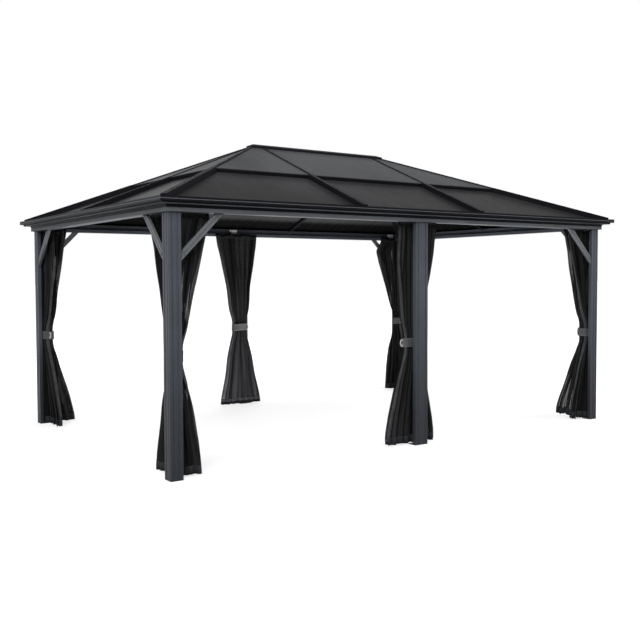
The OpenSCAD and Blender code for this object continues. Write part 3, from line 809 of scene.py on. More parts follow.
def start_cylinder(name, radius, low, high, sides):
    """A cylinder along Z between two heights, to be shaped further."""
    clear_selection()
    bpy.ops.mesh.primitive_cylinder_add(
        vertices=sides, radius=radius, depth=high - low, location=(0.0, 0.0, (low + high) / 2)
    )
    return settle(name)


def start_block(name, size, centre):
    """A block of a size at a place, to be shaped further."""
    clear_selection()
    bpy.ops.mesh.primitive_cube_add(size=1.0, location=centre)
    bpy.context.active_object.scale = size
    return settle(name)


def start_ring(name, radius, wire_radius, segments, z):
    """A ring that stands on edge at a height, to be shaped further, with its round and wire segments."""
    clear_selection()
    bpy.ops.mesh.primitive_torus_add(
        major_radius=radius, minor_radius=wire_radius, major_segments=segments[0], minor_segments=segments[1],
        location=(0.0, 0.0, z), rotation=(math.pi / 2, 0.0, 0.0),
    )
    return settle(name)


def start_picking(piece, select_mode):
    """Makes a piece active in a select mode, with nothing on it selected."""
    make_active(piece)
    bpy.context.tool_settings.mesh_select_mode = select_mode
    for parts in (piece.data.vertices, piece.data.edges, piece.data.polygons):
        parts.foreach_set("select", [False] * len(parts))


def pick_faces(piece, test):
    """Enters edit mode with the faces that pass a test selected."""
    start_picking(piece, (False, False, True))
    for face in piece.data.polygons:
        face.select = test(face)
    bpy.ops.object.mode_set(mode="EDIT")


def pick_edges(piece, test):
    """Enters edit mode with the edges whose two ends pass a test selected."""
    start_picking(piece, (False, True, False))
    points = piece.data.vertices
    for edge in piece.data.edges:
        edge.select = all(test(points[i].co) for i in edge.vertices)
    bpy.ops.object.mode_set(mode="EDIT")


def end_edit():
    """Leaves edit mode."""
    bpy.ops.object.mode_set(mode="OBJECT")


def faces_up(face):
    """True for a face that looks up."""
    return face.normal.z > 0.9


def faces_down(face):
    """True for a face that looks down."""
    return face.normal.z < -0.9


def faces_front(face):
    """True for a face that looks to the front."""
    return face.normal.y < -0.9


def any_face(face):
    """True for every face."""
    return True


def join(pieces, name):
    """Joins pieces into one object."""
    clear_selection()
    for piece in pieces:
        piece.select_set(True)
    bpy.context.view_layer.objects.active = pieces[0]
    if len(pieces) > 1:
        bpy.ops.object.join()
    joined = bpy.context.active_object
    joined.name = name
    joined.data.name = name
    return joined


def repeat(model, places, name):
    """Copies a model to every place, each copy with its own mesh, and joins the copies."""
    copies = []
    for place in places:
        copy = bpy.data.objects.new(name, model.data.copy())
        copy.data.transform(place)
        bpy.context.scene.collection.objects.link(copy)
        copies.append(copy)
    clear_selection()
    model.select_set(True)
    bpy.ops.object.delete()
    return join(copies, name)


def smooth(piece, degrees):
    """Smooths the faces that meet at less than an angle."""
    make_active(piece)
    bpy.ops.object.shade_smooth_by_angle(angle=math.radians(degrees))


def hand_over(piece, material):
    """Gives a piece its material and its body."""
    piece.data.materials.clear()
    piece.data.materials.append(material)
    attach(piece, "root")


def facing(place, direction):
    """A matrix that puts a model's Z axis along a direction at a place."""
    turn = Vector(direction).normalized().to_track_quat("Z", "Y")
    return Matrix.Translation(Vector(place)) @ turn.to_matrix().to_4x4()


def corner_signs(corner):
    """The signs of X and Y at a corner."""
    return (-1.0 if "left" in corner else 1.0), (-1.0 if "front" in corner else 1.0)


def from_corner(signs, across, deep, z):
    """A point at two distances inward from the outer faces of a corner post."""
    return Vector((signs[0] * (HALF_LENGTH - across), signs[1] * (HALF_WIDTH - deep), z))


# Fasteners


def hex_head(name, radius, low, high):
    """A hexagon head with a chamfered top."""
    chamfer = HEX_CHAMFER * radius
    head = start_cylinder(name, radius, low, high - chamfer, 6)
    pick_faces(head, faces_up)
    bpy.ops.mesh.extrude_region_move(TRANSFORM_OT_translate={"value": (0.0, 0.0, chamfer)})
    bpy.ops.transform.resize(value=(HEX_TOP, HEX_TOP, 1.0))
    end_edit()
    return head


def washer(name, radius, low, high):
    """A round washer with a bevelled rim."""
    disc = start_cylinder(name, radius, low, high, 20)
    pick_faces(disc, faces_up)
    bpy.ops.mesh.inset(thickness=WASHER_RIM * radius, depth=0.0)
    crown = WASHER_CROWN * (high - low)
    bpy.ops.mesh.extrude_region_move(TRANSFORM_OT_translate={"value": (0.0, 0.0, crown)})
    end_edit()
    return disc


def model_anchor():
    """A ground anchor: stud, washer and nut."""
    nut = hex_head("nut", NUT_R, FOOT_TOP + NUT_LOW, FOOT_TOP + NUT_HIGH)
    plate = washer("washer", WASHER_R, FOOT_TOP, FOOT_TOP + WASHER_T)
    stud = start_cylinder("stud", STUD_R, STUD_LOW, FOOT_TOP + STUD_HIGH, 16)
    pick_faces(stud, faces_up)
    bpy.ops.mesh.inset(thickness=STUD_CHAMFER, depth=0.0)
    bpy.ops.transform.translate(value=(0.0, 0.0, STUD_CROWN))
    end_edit()
    return join([nut, plate, stud], "anchor_model")


def model_screw():
    """A self-drilling screw head: a flange and a hexagon with a shallow dish."""
    flange = washer("flange", FLANGE_R, FLANGE_LOW, FLANGE_HIGH)
    head = hex_head("head", SCREW_R, FLANGE_HIGH, SCREW_HIGH)
    pick_faces(head, faces_up)
    bpy.ops.mesh.inset(thickness=SCREW_RIM, depth=0.0)
    bpy.ops.transform.translate(value=(0.0, 0.0, -SCREW_DISH))
    end_edit()
    return join([flange, head], "screw_model")


def anchor_places():
    """The places of the ground anchors, from the mounts of the record."""
    places = []
    for mount in frame["record"]["mounts"]:
        if not mount["name"].endswith("_anchors"):
            continue
        x, y, _ = mount["pos_m"]
        half = mount["dims"]["spacing_x_mm"] / 2000.0
        for shift in (-half, half):
            places.append(Matrix.Translation((x + shift, y, 0.0)))
    return places


def brace_screw_places():
    """Two screws at each end of every knee brace, on both sides of its groove."""
    top = BEAM_Z - BRACE_GAP
    along = math.sqrt(0.5)
    half = BRACE_W * along
    lower = BRACE_SCREW_END * along
    ends = []
    for side in (-1.0, 1.0):
        shift = side * BRACE_SCREW_OUT * along
        ends.append((WING + lower - shift, top - BRACE_REACH + half + lower + shift))
        ends.append((WING + BRACE_REACH - half - lower - shift, top - lower + shift))
    places = []
    for corner in CORNERS:
        signs = corner_signs(corner)
        for reach, z in ends:
            places.append(facing(from_corner(signs, reach, BRACE_SET, z), (0.0, signs[1], 0.0)))
            places.append(facing(from_corner(signs, BRACE_SET, reach, z), (signs[0], 0.0, 0.0)))
    return places


def cap_screws(top, foot, spans, count, normal):
    """Screws at even steps along the lower and the upper cap of one slope line."""
    places = []
    for first, last in spans:
        start = top.lerp(foot, first)
        end = top.lerp(foot, last)
        places += [facing(start.lerp(end, (i + 0.5) / count), normal) for i in range(count)]
    return places


def cap_screw_places():
    """Screws along the caps of the hips and the rafters."""
    places = []
    for x in (-1.0, 1.0):
        apex = Vector((x * HALF_RIDGE, 0.0, RIDGE_Z))
        eave = Vector((x * CAD_HIGH.x, 0.0, EAVE_Z))
        normal = (eave - apex).cross(Vector((0.0, 1.0, 0.0))) * -x
        places += cap_screws(apex, eave, END_CAP_SPANS, 3, normal)
        for y in (-1.0, 1.0):
            corner = Vector((x * CAD_HIGH.x, y * CAD_HIGH.y, EAVE_Z))
            run = corner - apex
            flat = Vector((run.x, run.y, 0.0))
            normal = Vector((-run.z * flat.x, -run.z * flat.y, flat.length_squared))
            places += cap_screws(apex, corner, CAP_SPANS, 4, normal)
            ridge = Vector((x * RAFTER_X, 0.0, RIDGE_Z))
            foot = Vector((x * RAFTER_X, y * CAD_HIGH.y, EAVE_Z))
            normal = Vector((0.0, y * (RIDGE_Z - EAVE_Z), CAD_HIGH.y))
            places += cap_screws(ridge, foot, CAP_SPANS, 3, normal)
    return places


def model_bracket():
    """A lamp bracket: a plate with one slanted corner and a raised face, and two screws."""
    low = BEAM_Z + BRACKET_LOW
    high = BEAM_Z + BRACKET_HIGH
    middle = (low + high) / 2
    face = HALF_WIDTH - BEAM_W
    plate = start_block("plate", (BRACKET_W, BRACKET_T, high - low), (0.0, face - BRACKET_SET, middle))
    pick_edges(plate, lambda point: point.x < 0.0 and point.z < middle)
    bpy.ops.mesh.bevel(offset=BRACKET_SLANT, segments=1, affect="EDGES")
    end_edit()
    pick_faces(plate, faces_front)
    bpy.ops.mesh.inset(thickness=BRACKET_RIM, depth=0.0)
    bpy.ops.transform.translate(value=(0.0, -BRACKET_CROWN, 0.0))
    bpy.ops.mesh.inset(thickness=BRACKET_MARGIN, depth=0.0)
    bpy.ops.mesh.extrude_region_move(TRANSFORM_OT_translate={"value": (0.0, -BRACKET_RISE, 0.0)})
    bpy.ops.transform.resize(value=(0.94, 1.0, 0.92))
    end_edit()
    places = []
    for x in (-BRACKET_SCREW_X, BRACKET_SCREW_X):
        places.append(facing((x, face - BRACKET_SCREW_SET, high - BRACKET_SCREW_DROP), (0.0, -1.0, 0.0)))
    screws = repeat(model_screw(), places, "bracket_screws")
    return join([plate, screws], "bracket_model")


# Insect nets


def ease(k):
    """Soft step from 0 to 1."""
    k = min(1.0, max(0.0, k))
    return k * k * (3.0 - 2.0 * k)


def mix(first, second, k):
    """A value between two values."""
    return first + (second - first) * k


def through(points, x):
    """A smooth curve through points of rising x."""
    last = len(points) - 1
    i = 0
    while i < last - 1 and x > points[i + 1][0]:
        i += 1

    def slope(j):
        if j in (0, last):
            return 0.0
        before = (points[j][1] - points[j - 1][1]) / (points[j][0] - points[j - 1][0])
        after = (points[j + 1][1] - points[j][1]) / (points[j + 1][0] - points[j][0])
        if before * after <= 0.0:
            return 0.0
        return 2.0 * before * after / (before + after)

    (x0, y0), (x1, y1) = points[i], points[i + 1]
    step = x1 - x0
    k = min(1.0, max(0.0, (x - x0) / step))
    rise = y1 - y0
    start, end = slope(i) * step, slope(i + 1) * step
    return y0 + k * (start + k * (3.0 * rise - 2.0 * start - end + k * (start + end - 2.0 * rise)))


def length_of(points):
    """Length of a line of points."""
    return sum((b - a).length for a, b in zip(points, points[1:]))


class NetShape:
    """A net that hangs in pleats from its track, is tied at a waist and spreads to its hem."""

    columns_per_pleat = 14
    rows = 58
    edge_columns = 8
    wide_share = 0.7
    hem_depth = 0.044
    track_depth = 0.024
    bunches = 7
    bunch_depth = 0.014
    track_bunch = 0.45
    bunch_drop = 0.3
    corner_bend = 0.05
    corner_bulge = 0.036
    track_reach = 0.035
    long_hem_reach = -0.05
    short_hem_reach = 0.10
    waist_fill = 0.93
    waist_room = 0.97
    tie_margin = 0.006
    hem_ripple = 0.004
    ripple_rise = 0.3
    droop = 0.004
    droop_drop = 0.1
    ruffle = 0.030
    ruffle_drop = 0.12
    ruffle_line = 0.083
    ruffle_step = 0.012
    hem_slack = 0.004

    # Shares of the height between hem and waist, and between waist and track, with the pull of the tie there
    pull_below = ((0.0, 0.0), (0.2, 0.12), (0.55, 0.48), (0.8, 0.82))
    pull_above = ((0.2, 0.78), (0.42, 0.55), (0.6, 0.37), (0.8, 0.16), (0.92, 0.05), (1.0, 0.0))

    def __init__(self, corner, width, pleats, top_z, seed, slides):
        self.corner = corner
        self.slides = slides
        self.width = width
        self.pleats = pleats
        self.top_z = top_z
        self.wide = max(8, round(pleats * self.wide_share))
        self.columns = pleats * self.columns_per_pleat
        dice = random.Random(seed)
        self.full = [dice.uniform(0.86, 1.0) for _ in range(pleats + 2)]
        self.loose = [dice.uniform(0.82, 1.0) for _ in range(self.wide + 2)]
        self.shift = dice.uniform(0.0, 6.28)
        self.lean = [dice.uniform(-1.0, 1.0) for _ in range(5)]
        waist_z = (TIE_LOW.z + TIE_HIGH.z) / 2
        self.levels = [(mix(HEM_Z, waist_z, share), pull) for share, pull in self.pull_below]
        self.levels += [(TIE_LOW.z - self.tie_margin, 1.0), (TIE_HIGH.z + self.tie_margin, 1.0)]
        self.levels += [(mix(waist_z, top_z, share), pull) for share, pull in self.pull_above]

    def raised(self, z):
        """How high a point is on the net, from 0 at the hem to 1 at the top."""
        return ease((z - HEM_Z) / (self.top_z - HEM_Z))

    def near_top(self, z, drop):
        """How near a point is to the top, from 0 at a drop below it to 1."""
        return ease((z - self.top_z + drop) / drop)

    def open_path(self, t, z, line=NET_LINE):
        """A point on the path of the open net, and the direction to the outside."""
        high = self.raised(z)
        if not self.corner:
            slide = mix(self.slides[2], self.slides[0], high)
            reach = MIDDLE_NET_REACH - self.slides[3] * high
            return Vector((mix(-reach, reach, t) + slide, line)), Vector((0.0, -1.0))
        bend = self.corner_bend
        plain = CORNER_NET_REACH - line - bend
        tuck = self.slides[3] * self.near_top(z, TUCK_DROP)
        hem_reach = self.slides[2] + self.long_hem_reach
        first = mix(hem_reach, self.slides[0] + self.track_reach, high) + plain - tuck
        second = mix(self.short_hem_reach, self.slides[1] + self.track_reach, high) + plain
        turn = bend * math.pi / 2
        s = t * (first + second + turn)
        if s < first:
            return Vector((line + bend + first - s, line)), Vector((0.0, -1.0))
        if s > first + turn:
            return Vector((line, line + bend + s - first - turn)), Vector((-1.0, 0.0))
        a = (s - first) / bend
        out = Vector((-math.sin(a), -math.cos(a)))
        return Vector((line + bend, line + bend)) + bend * out, out

    def waist(self, t):
        """A point on the middle line of the tied waist, the direction to the outside and the room there."""
        k = 2.0 * t - 1.0
        if self.corner:
            middle = POST_T + CORNER_WAIST_R + WAIST_GAP
            x = -k * CORNER_WAIST_R * self.waist_fill
            room = math.sqrt(max(0.0, CORNER_WAIST_R ** 2 - x ** 2))
            half = math.sqrt(0.5)
            return Vector((middle + x * half, middle - x * half)), Vector((-half, -half)), room
        x = k * (MIDDLE_WAIST_FLAT + MIDDLE_WAIST_R * self.waist_fill)
        past = max(0.0, abs(x) - MIDDLE_WAIST_FLAT)
        room = math.sqrt(max(0.0, MIDDLE_WAIST_R ** 2 - past ** 2))
        place = Vector((x + self.slides[1], MIDDLE_T + MIDDLE_WAIST_R + WAIST_GAP))
        return place, Vector((0.0, -1.0)), room

    def wave(self, u, z):
        """Depth within the pleats, from -1 to 1, and how far the folds lap over each other."""
        close = 2.0 * math.pi * self.pleats * u
        wide = 2.0 * math.pi * self.wide * u + 0.5 * math.sin(2.0 * z + self.shift)
        share = 0.86 - 0.86 * ease((z - 1.1) / (self.top_z - 1.15))
        close_depth = math.sin(close) * self.full[int(self.pleats * u + 0.25)]
        wide_depth = math.sin(wide) * self.loose[int(self.wide * u + 0.5)]
        lap = mix(math.sin(2.0 * close) / self.pleats, math.sin(2.0 * wide) / self.wide, share)
        return mix(close_depth, wide_depth, share), -0.45 * lap

    def wander(self, u, z):
        """Where a column lies along the path, with slow drifts and edges that swing in and out."""
        t = u + 0.010 * math.sin(9.0 * u + self.lean[0] * 3.0 + 1.5 * z)
        t += 0.006 * math.sin(23.0 * u + self.lean[1] * 3.0 - 2.0 * z)
        swing = math.sin(5.3 * z + self.shift) - 1.0 + 0.5 * math.sin(12.1 * z)
        return t + 0.022 * (2.0 * u - 1.0) * swing

    def slant(self, t, pull):
        """How far the folds lean to one side along the net."""
        if not self.corner:
            return -0.03
        return mix(0.045 * math.cos(math.pi * t), -0.10, ease(2.0 * pull - 1.0))

    def height(self, u, z, inside):
        """The height of a point: a rippled hem, and a top that droops between gliders and ruffles inside."""
        low = 1.0 - ease((z - HEM_Z) / self.ripple_rise)
        ripple = self.hem_ripple * low * (math.sin(31.0 * u + self.shift) + self.lean[2])
        sag = 1.0 - math.cos(4.0 * math.pi * self.pleats * u)
        droop = self.droop * self.near_top(z, self.droop_drop) * sag
        uneven = self.ruffle + 0.008 * math.sin(17.0 * u + self.shift)
        uneven += 0.007 * math.sin(41.0 * u + self.lean[3])
        past = ease((inside - self.ruffle_line) / self.ruffle_step)
        ruffle = uneven * past * self.near_top(z, self.ruffle_drop)
        return max(HEM_Z - self.hem_slack, z + ripple + ruffle - droop)

    def row(self, j, scale):
        """The points of one row, with the folds made deeper or shallower."""
        z = mix(HEM_Z, self.top_z, j / self.rows)
        pull = through(self.levels, z)
        depth = mix(self.hem_depth, self.track_depth, self.raised(z))
        bunch = self.bunch_depth * mix(1.0, self.track_bunch, self.near_top(z, self.bunch_drop))
        drift = self.shift + 0.7 * math.sin(1.7 * z + self.lean[4])
        points = []
        for i in range(self.columns + 1):
            u = i / self.columns
            t = self.wander(u, z)
            fold, lap = self.wave(u, z)
            t = min(1.0, max(0.0, t + lap - self.slant(t, pull) * fold))
            path, out = self.open_path(t, z)
            centre, inward, room = self.waist(t)
            sway = math.sin(2.0 * math.pi * self.bunches * u + drift)
            turning = 2.0 * abs(out.x * out.y)
            push = mix(-bunch * (1.0 + sway), self.corner_bulge, turning)
            spread_point = path + out * (depth * scale * fold + push)
            tied_point = centre + inward * room * self.waist_room * min(1.0, scale * 1.05) * fold
            point = spread_point.lerp(tied_point, pull)
            inside = min(point.x, point.y) if self.corner else point.y
            points.append(Vector((point.x, point.y, self.height(u, z, inside))))
        return points

    def fitted_row(self, j):
        """One row whose length comes as near as it can to the width of the cloth."""
        low, high = 0.35, 1.0
        points = self.row(j, high)
        for _ in range(5):
            if abs(length_of(points) - self.width) < 0.02 * self.width:
                break
            middle = (low + high) / 2
            points = self.row(j, middle)
            if length_of(points) > self.width:
                high = middle
            else:
                low = middle
        return points

    def grid(self):
        """All the rows of the net, in the frame of its post."""
        return [self.fitted_row(j) for j in range(self.rows + 1)]


def cloth_mesh(name, rows, row_span, column_span, placed):
    """A sheet from part of a grid of points, with the grid as its UV map."""
    wide = len(rows[0]) - 1
    tall = len(rows) - 1
    first_row, last_row = row_span
    first_column, last_column = column_span
    step = last_column - first_column + 1
    points = []
    for row in rows[first_row:last_row + 1]:
        points += [placed(point) for point in row[first_column:last_column + 1]]
    faces = []
    for j in range(last_row - first_row):
        for i in range(step - 1):
            a = j * step + i
            faces.append((a, a + 1, a + step + 1, a + step))
    mesh = bpy.data.meshes.new(name)
    mesh.from_pydata(points, [], faces)
    layer = mesh.uv_layers.new(name="Cloth")
    for loop in mesh.loops:
        j, i = divmod(loop.vertex_index, step)
        layer.data[loop.index].uv = ((first_column + i) / wide, (first_row + j) / tall)
    mesh.update()
    piece = bpy.data.objects.new(name, mesh)
    bpy.context.scene.collection.objects.link(piece)
    for face in mesh.polygons:
        face.use_smooth = True
    return piece


def thicken(piece, thickness):
    """Gives a sheet its thickness on both sides."""
    make_active(piece)
    wall = piece.modifiers.new("Thickness", "SOLIDIFY")
    wall.thickness = thickness
    wall.offset = 0.0
    bpy.ops.object.modifier_apply(modifier=wall.name)


def net_bands(name, rows, shape, nets, placed):
    """The hem, the two edge tapes and the header tape of a net, as sheets round the net."""
    pitch = (shape.top_z - HEM_Z) / shape.rows
    hem_top = max(1, round(nets.hem / pitch))
    header_foot = shape.rows - max(1, round(nets.header / pitch))
    last = shape.columns
    edge = shape.edge_columns
    hem = cloth_mesh(f"{name}_hem", rows, (0, hem_top), (0, last), placed)
    near = cloth_mesh(f"{name}_edge_a", rows, (hem_top, header_foot), (0, edge), placed)
    far = cloth_mesh(f"{name}_edge_b", rows, (hem_top, header_foot), (last - edge, last), placed)
    header = cloth_mesh(f"{name}_header", rows, (header_foot, shape.rows), (0, last), placed)
    for band in (hem, near, far, header):
        thicken(band, TAPE_T)
    return hem, join([near, far], f"{name}_edges"), header


def hang_net(node, shape, nets, placed, materials):
    """Makes one net with its bands and puts it in the place of its solid."""
    rows = shape.grid()
    net = cloth_mesh(f"{node}_cloth", rows, (0, shape.rows), (0, shape.columns), placed)
    hand_over(net, materials["net"])
    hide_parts(node)
    hem, edges, header = net_bands(node, rows, shape, nets, placed)
    hand_over(hem, materials["hem"])
    hand_over(edges, materials["edge"])
    hand_over(header, materials["header"])


def corner_place(corner):
    """The rule that puts a point of a corner net at its own corner."""
    signs = corner_signs(corner)

    def placed(point):
        return from_corner(signs, point.x, point.y, point.z)

    return placed


def middle_place(side):
    """The rule that puts a point of a middle net at the front or the back."""
    sign = -1.0 if side == "front" else 1.0

    def placed(point):
        return Vector((-sign * point.x, sign * (HALF_WIDTH - point.y), point.z))

    return placed


def all_nets(nets):
    """Every net by its label, with its shape and the rule that places it."""
    top = BEAM_Z - nets.drop
    found = []
    for i, corner in enumerate(CORNERS):
        slides = CORNER_SLIDES[corner]
        shape = NetShape(True, nets.corner_width, nets.corner_pleats, top, CORNER_NET_SEED + i, slides)
        found.append((corner, shape, corner_place(corner)))
    for i, side in enumerate(LONG_SIDES):
        slides = MIDDLE_SLIDES[side]
        shape = NetShape(False, nets.middle_width, nets.middle_pleats, top, MIDDLE_NET_SEED + i, slides)
        found.append((f"{side}_middle", shape, middle_place(side)))
    return found


def net_materials(finish):
    """The materials of the nets, by their parts."""
    return {
        "net": net_material("Insect net", finish.net, 900.0, 640.0),
        "hem": cloth_material("Net hem", finish.band),
        "edge": cloth_material("Edge tape", finish.edge),
        "header": cloth_material("Header tape", finish.net),
    }


def model_glider():
    """A track glider: a runner in the slot, a neck and a ring for the header tape."""
    runner = start_block("runner", RUNNER_SIZE, (0.0, 0.0, RUNNER_Z))
    pick_faces(runner, any_face)
    bpy.ops.mesh.bevel(offset=RUNNER_BEVEL, segments=2, affect="EDGES")
    end_edit()
    neck = start_cylinder("neck", NECK_R, NECK_LOW, NECK_HIGH, 8)
    pick_faces(neck, faces_down)
    bpy.ops.mesh.inset(thickness=NECK_RIM, depth=0.0)
    end_edit()
    ring = start_ring("ring", RING_R, RING_WIRE_R, (14, 6), RING_Z)
    pick_faces(ring, lambda face: face.center.z < RING_Z)
    bpy.ops.transform.resize(value=(0.75, 1.0, 1.0))
    bpy.ops.transform.translate(value=(0.0, 0.0, -RING_DROP))
    end_edit()
    return join([runner, neck, ring], "glider_model")


def glider_places(nets):
    """The places of the gliders along the track above every net, a little in from its ends."""
    places = []
    for _, shape, placed in all_nets(nets):
        for k in range(shape.pleats):
            share = mix(*GLIDER_SPAN, k / (shape.pleats - 1))
            point, out = shape.open_path(share, shape.top_z, TRACK_LINE)
            turn = Matrix.Rotation(0.0 if abs(out.x) < 0.5 else math.pi / 2, 4, "Z")
            places.append(Matrix.Translation(placed(Vector((point.x, point.y, BEAM_Z)))) @ turn)
    return places


def tie_sheet(name, middle, radius, flat, placed, seed):
    """A strap round the waist of a net, with its end lapped over its start."""
    phase = random.Random(seed).uniform(0.0, 6.28)
    rows = []
    for j in range(STRAP_ROWS + 1):
        k = j / STRAP_ROWS
        edge = abs(2.0 * k - 1.0)
        level = mix(TIE_LOW.z + STRAP_MARGIN, TIE_HIGH.z - STRAP_MARGIN, k)
        row = []
        for i in range(STRAP_COLUMNS + 1):
            part = STRAP_TURNS * i / STRAP_COLUMNS
            angle = 2.0 * math.pi * part + 0.6
            lap = STRAP_LAP * ease((part - 0.9) / 0.12)
            crease = STRAP_CREASE * math.sin(7.0 * angle + phase + 3.0 * k) * (0.4 + edge)
            out = radius + STRAP_GAP + lap + crease + STRAP_FLARE * edge ** 3
            x = out * math.cos(angle) + flat * max(-1.0, min(1.0, 2.0 * math.cos(angle)))
            y = out * math.sin(angle)
            sag = STRAP_SAG * math.sin(angle + phase)
            row.append(Vector((middle.x + x, middle.y + y, level + sag)))
        rows.append(row)
    strap = cloth_mesh(name, rows, (0, STRAP_ROWS), (0, STRAP_COLUMNS), placed)
    thicken(strap, STRAP_T)
    return strap


def corner_tie(corner, seed):
    """The strap of a corner net, and the place of its hook."""
    placed = corner_place(corner)
    out = POST_T + CORNER_WAIST_R + WAIST_GAP
    strap = tie_sheet(f"tie_{corner}", Vector((out, out)), CORNER_WAIST_R, 0.0, placed, seed)
    point = placed(Vector((out, out + CORNER_WAIST_R + HOOK_OUT, (TIE_LOW.z + TIE_HIGH.z) / 2)))
    turn = math.pi / 2 if "back" in corner else -math.pi / 2
    return strap, Matrix.Translation(point) @ Matrix.Rotation(turn, 4, "Z")


def middle_tie(side, seed):
    """The strap of a middle net, and the place of its hook."""
    placed = middle_place(side)
    slide = MIDDLE_SLIDES[side][1]
    out = MIDDLE_T + MIDDLE_WAIST_R + WAIST_GAP
    middle = Vector((slide, out))
    strap = tie_sheet(f"tie_{side}_middle", middle, MIDDLE_WAIST_R, MIDDLE_WAIST_FLAT, placed, seed)
    reach = MIDDLE_WAIST_FLAT + MIDDLE_WAIST_R + HOOK_OUT
    point = placed(Vector((slide - reach, out, (TIE_LOW.z + TIE_HIGH.z) / 2)))
    turn = 0.0 if side == "front" else math.pi
    return strap, Matrix.Translation(point) @ Matrix.Rotation(turn, 4, "Z")


def model_hook():
    """An open ring hook with capped ends, drawn out upright."""
    ring = start_ring("hook_ring", HOOK_R, HOOK_WIRE_R, (28, 10), 0.0)
    pick_faces(ring, lambda face: face.center.x > HOOK_MOUTH_X and abs(face.center.z) < HOOK_MOUTH_Z)
    bpy.ops.mesh.delete(type="FACE")
    bpy.ops.mesh.select_all(action="DESELECT")
    bpy.context.tool_settings.mesh_select_mode = (False, True, False)
    bpy.ops.mesh.select_non_manifold()
    bpy.ops.mesh.fill_holes(sides=0)
    bpy.ops.mesh.select_all(action="SELECT")
    bpy.ops.transform.resize(value=(1.0, 1.0, 1.6))
    bpy.ops.mesh.normals_make_consistent(inside=False)
    end_edit()
    return ring


# Operators


class GAZEBO_OT_finish_frame(bpy.types.Operator):
    """Coats the posts, beams, cornices and braces"""

    bl_idname = "gazebo.finish_frame"
    bl_label = "Finish the frame"

    def execute(self, context):
        finish = context.scene.gazebo_finish
        dress(FRAME_NODES, coat_material("Charcoal coat", finish.frame))
        dress(BRACE_NODES, coat_material("Brace coat", finish.trim))
        dress(["front_cornice", "back_cornice"], cornice_material("Cornice coat", finish.bars, finish.trim))
        # The end cornices get the lighter lip colour, which is painted light on the ends
        lit_end_coat = cornice_material("End cornice coat with painted light", finish.end_lip_painted_light, finish.trim)
        dress(["left_cornice", "right_cornice"], lit_end_coat)
        dress(["foot_plates"], coat_material("Foot coat", finish.feet))
        return {"FINISHED"}


class GAZEBO_OT_finish_roof(bpy.types.Operator):
    """Coats the roof bars and panels"""

    bl_idname = "gazebo.finish_roof"
    bl_label = "Finish the roof"

    def execute(self, context):
        finish = context.scene.gazebo_finish
        dress(BAR_NODES, coat_material("Black coat", finish.bars))
        for side in SIDES:
            along = (6.0, 0.7) if side in LONG_SIDES else (0.7, 6.0)
            upper = panel_material(
                f"Upper sheet {side}", finish.upper_panels, finish.upper_backs,
                roughness=0.38, specular=0.012, along=along,
            )
            lower = panel_material(
                f"Lower sheet {side}", finish.lower_panels, finish.lower_backs,
                roughness=0.26, specular=0.004, along=along,
            )
            dress([f"{side}_upper_panels"], upper)
            dress([f"{side}_lower_panels"], lower)
        return {"FINISHED"}


class GAZEBO_OT_anchors(bpy.types.Operator):
    """Adds the ground anchors of the feet"""

    bl_idname = "gazebo.anchors"
    bl_label = "Ground anchors"

    def execute(self, context):
        anchors = repeat(model_anchor(), anchor_places(), "ground_anchors")
        smooth(anchors, METAL_SMOOTHING)
        hand_over(anchors, zinc_material("Zinc plate"))
        return {"FINISHED"}


class GAZEBO_OT_screws(bpy.types.Operator):
    """Adds the screws of the braces and the roof caps"""

    bl_idname = "gazebo.screws"
    bl_label = "Screws"

    def execute(self, context):
        finish = context.scene.gazebo_finish
        model = model_screw()
        spare = model.copy()
        spare.data = model.data.copy()
        context.scene.collection.objects.link(spare)
        braces = repeat(model, brace_screw_places(), "brace_screws")
        smooth(braces, METAL_SMOOTHING)
        hand_over(braces, coat_material("Screw coat", finish.frame))
        caps = repeat(spare, cap_screw_places(), "cap_screws")
        smooth(caps, METAL_SMOOTHING)
        hand_over(caps, coat_material("Cap screw coat", finish.bars))
        return {"FINISHED"}


class GAZEBO_OT_brackets(bpy.types.Operator):
    """Adds the two small lamp brackets of the back beam"""

    bl_idname = "gazebo.brackets"
    bl_label = "Lamp brackets"

    def execute(self, context):
        places = [Matrix.Translation((x, 0.0, 0.0)) for x in BRACKET_PLACES]
        brackets = repeat(model_bracket(), places, "lamp_brackets")
        smooth(brackets, METAL_SMOOTHING)
        hand_over(brackets, plastic_material("Bracket coat", context.scene.gazebo_finish.bracket))
        return {"FINISHED"}


class GAZEBO_OT_nets(bpy.types.Operator):
    """Hangs the six insect nets with their bands"""

    bl_idname = "gazebo.nets"
    bl_label = "Insect nets"

    def execute(self, context):
        nets = context.scene.gazebo_nets
        materials = net_materials(context.scene.gazebo_finish)
        for label, shape, placed in all_nets(nets):
            hang_net(f"net_{label}", shape, nets, placed, materials)
        return {"FINISHED"}


class GAZEBO_OT_gliders(bpy.types.Operator):
    """Adds the gliders that carry the nets in their tracks"""

    bl_idname = "gazebo.gliders"
    bl_label = "Net gliders"

    def execute(self, context):
        gliders = repeat(model_glider(), glider_places(context.scene.gazebo_nets), "net_gliders")
        smooth(gliders, GLIDER_SMOOTHING)
        hand_over(gliders, plastic_material("Glider plastic", context.scene.gazebo_finish.glider))
        return {"FINISHED"}


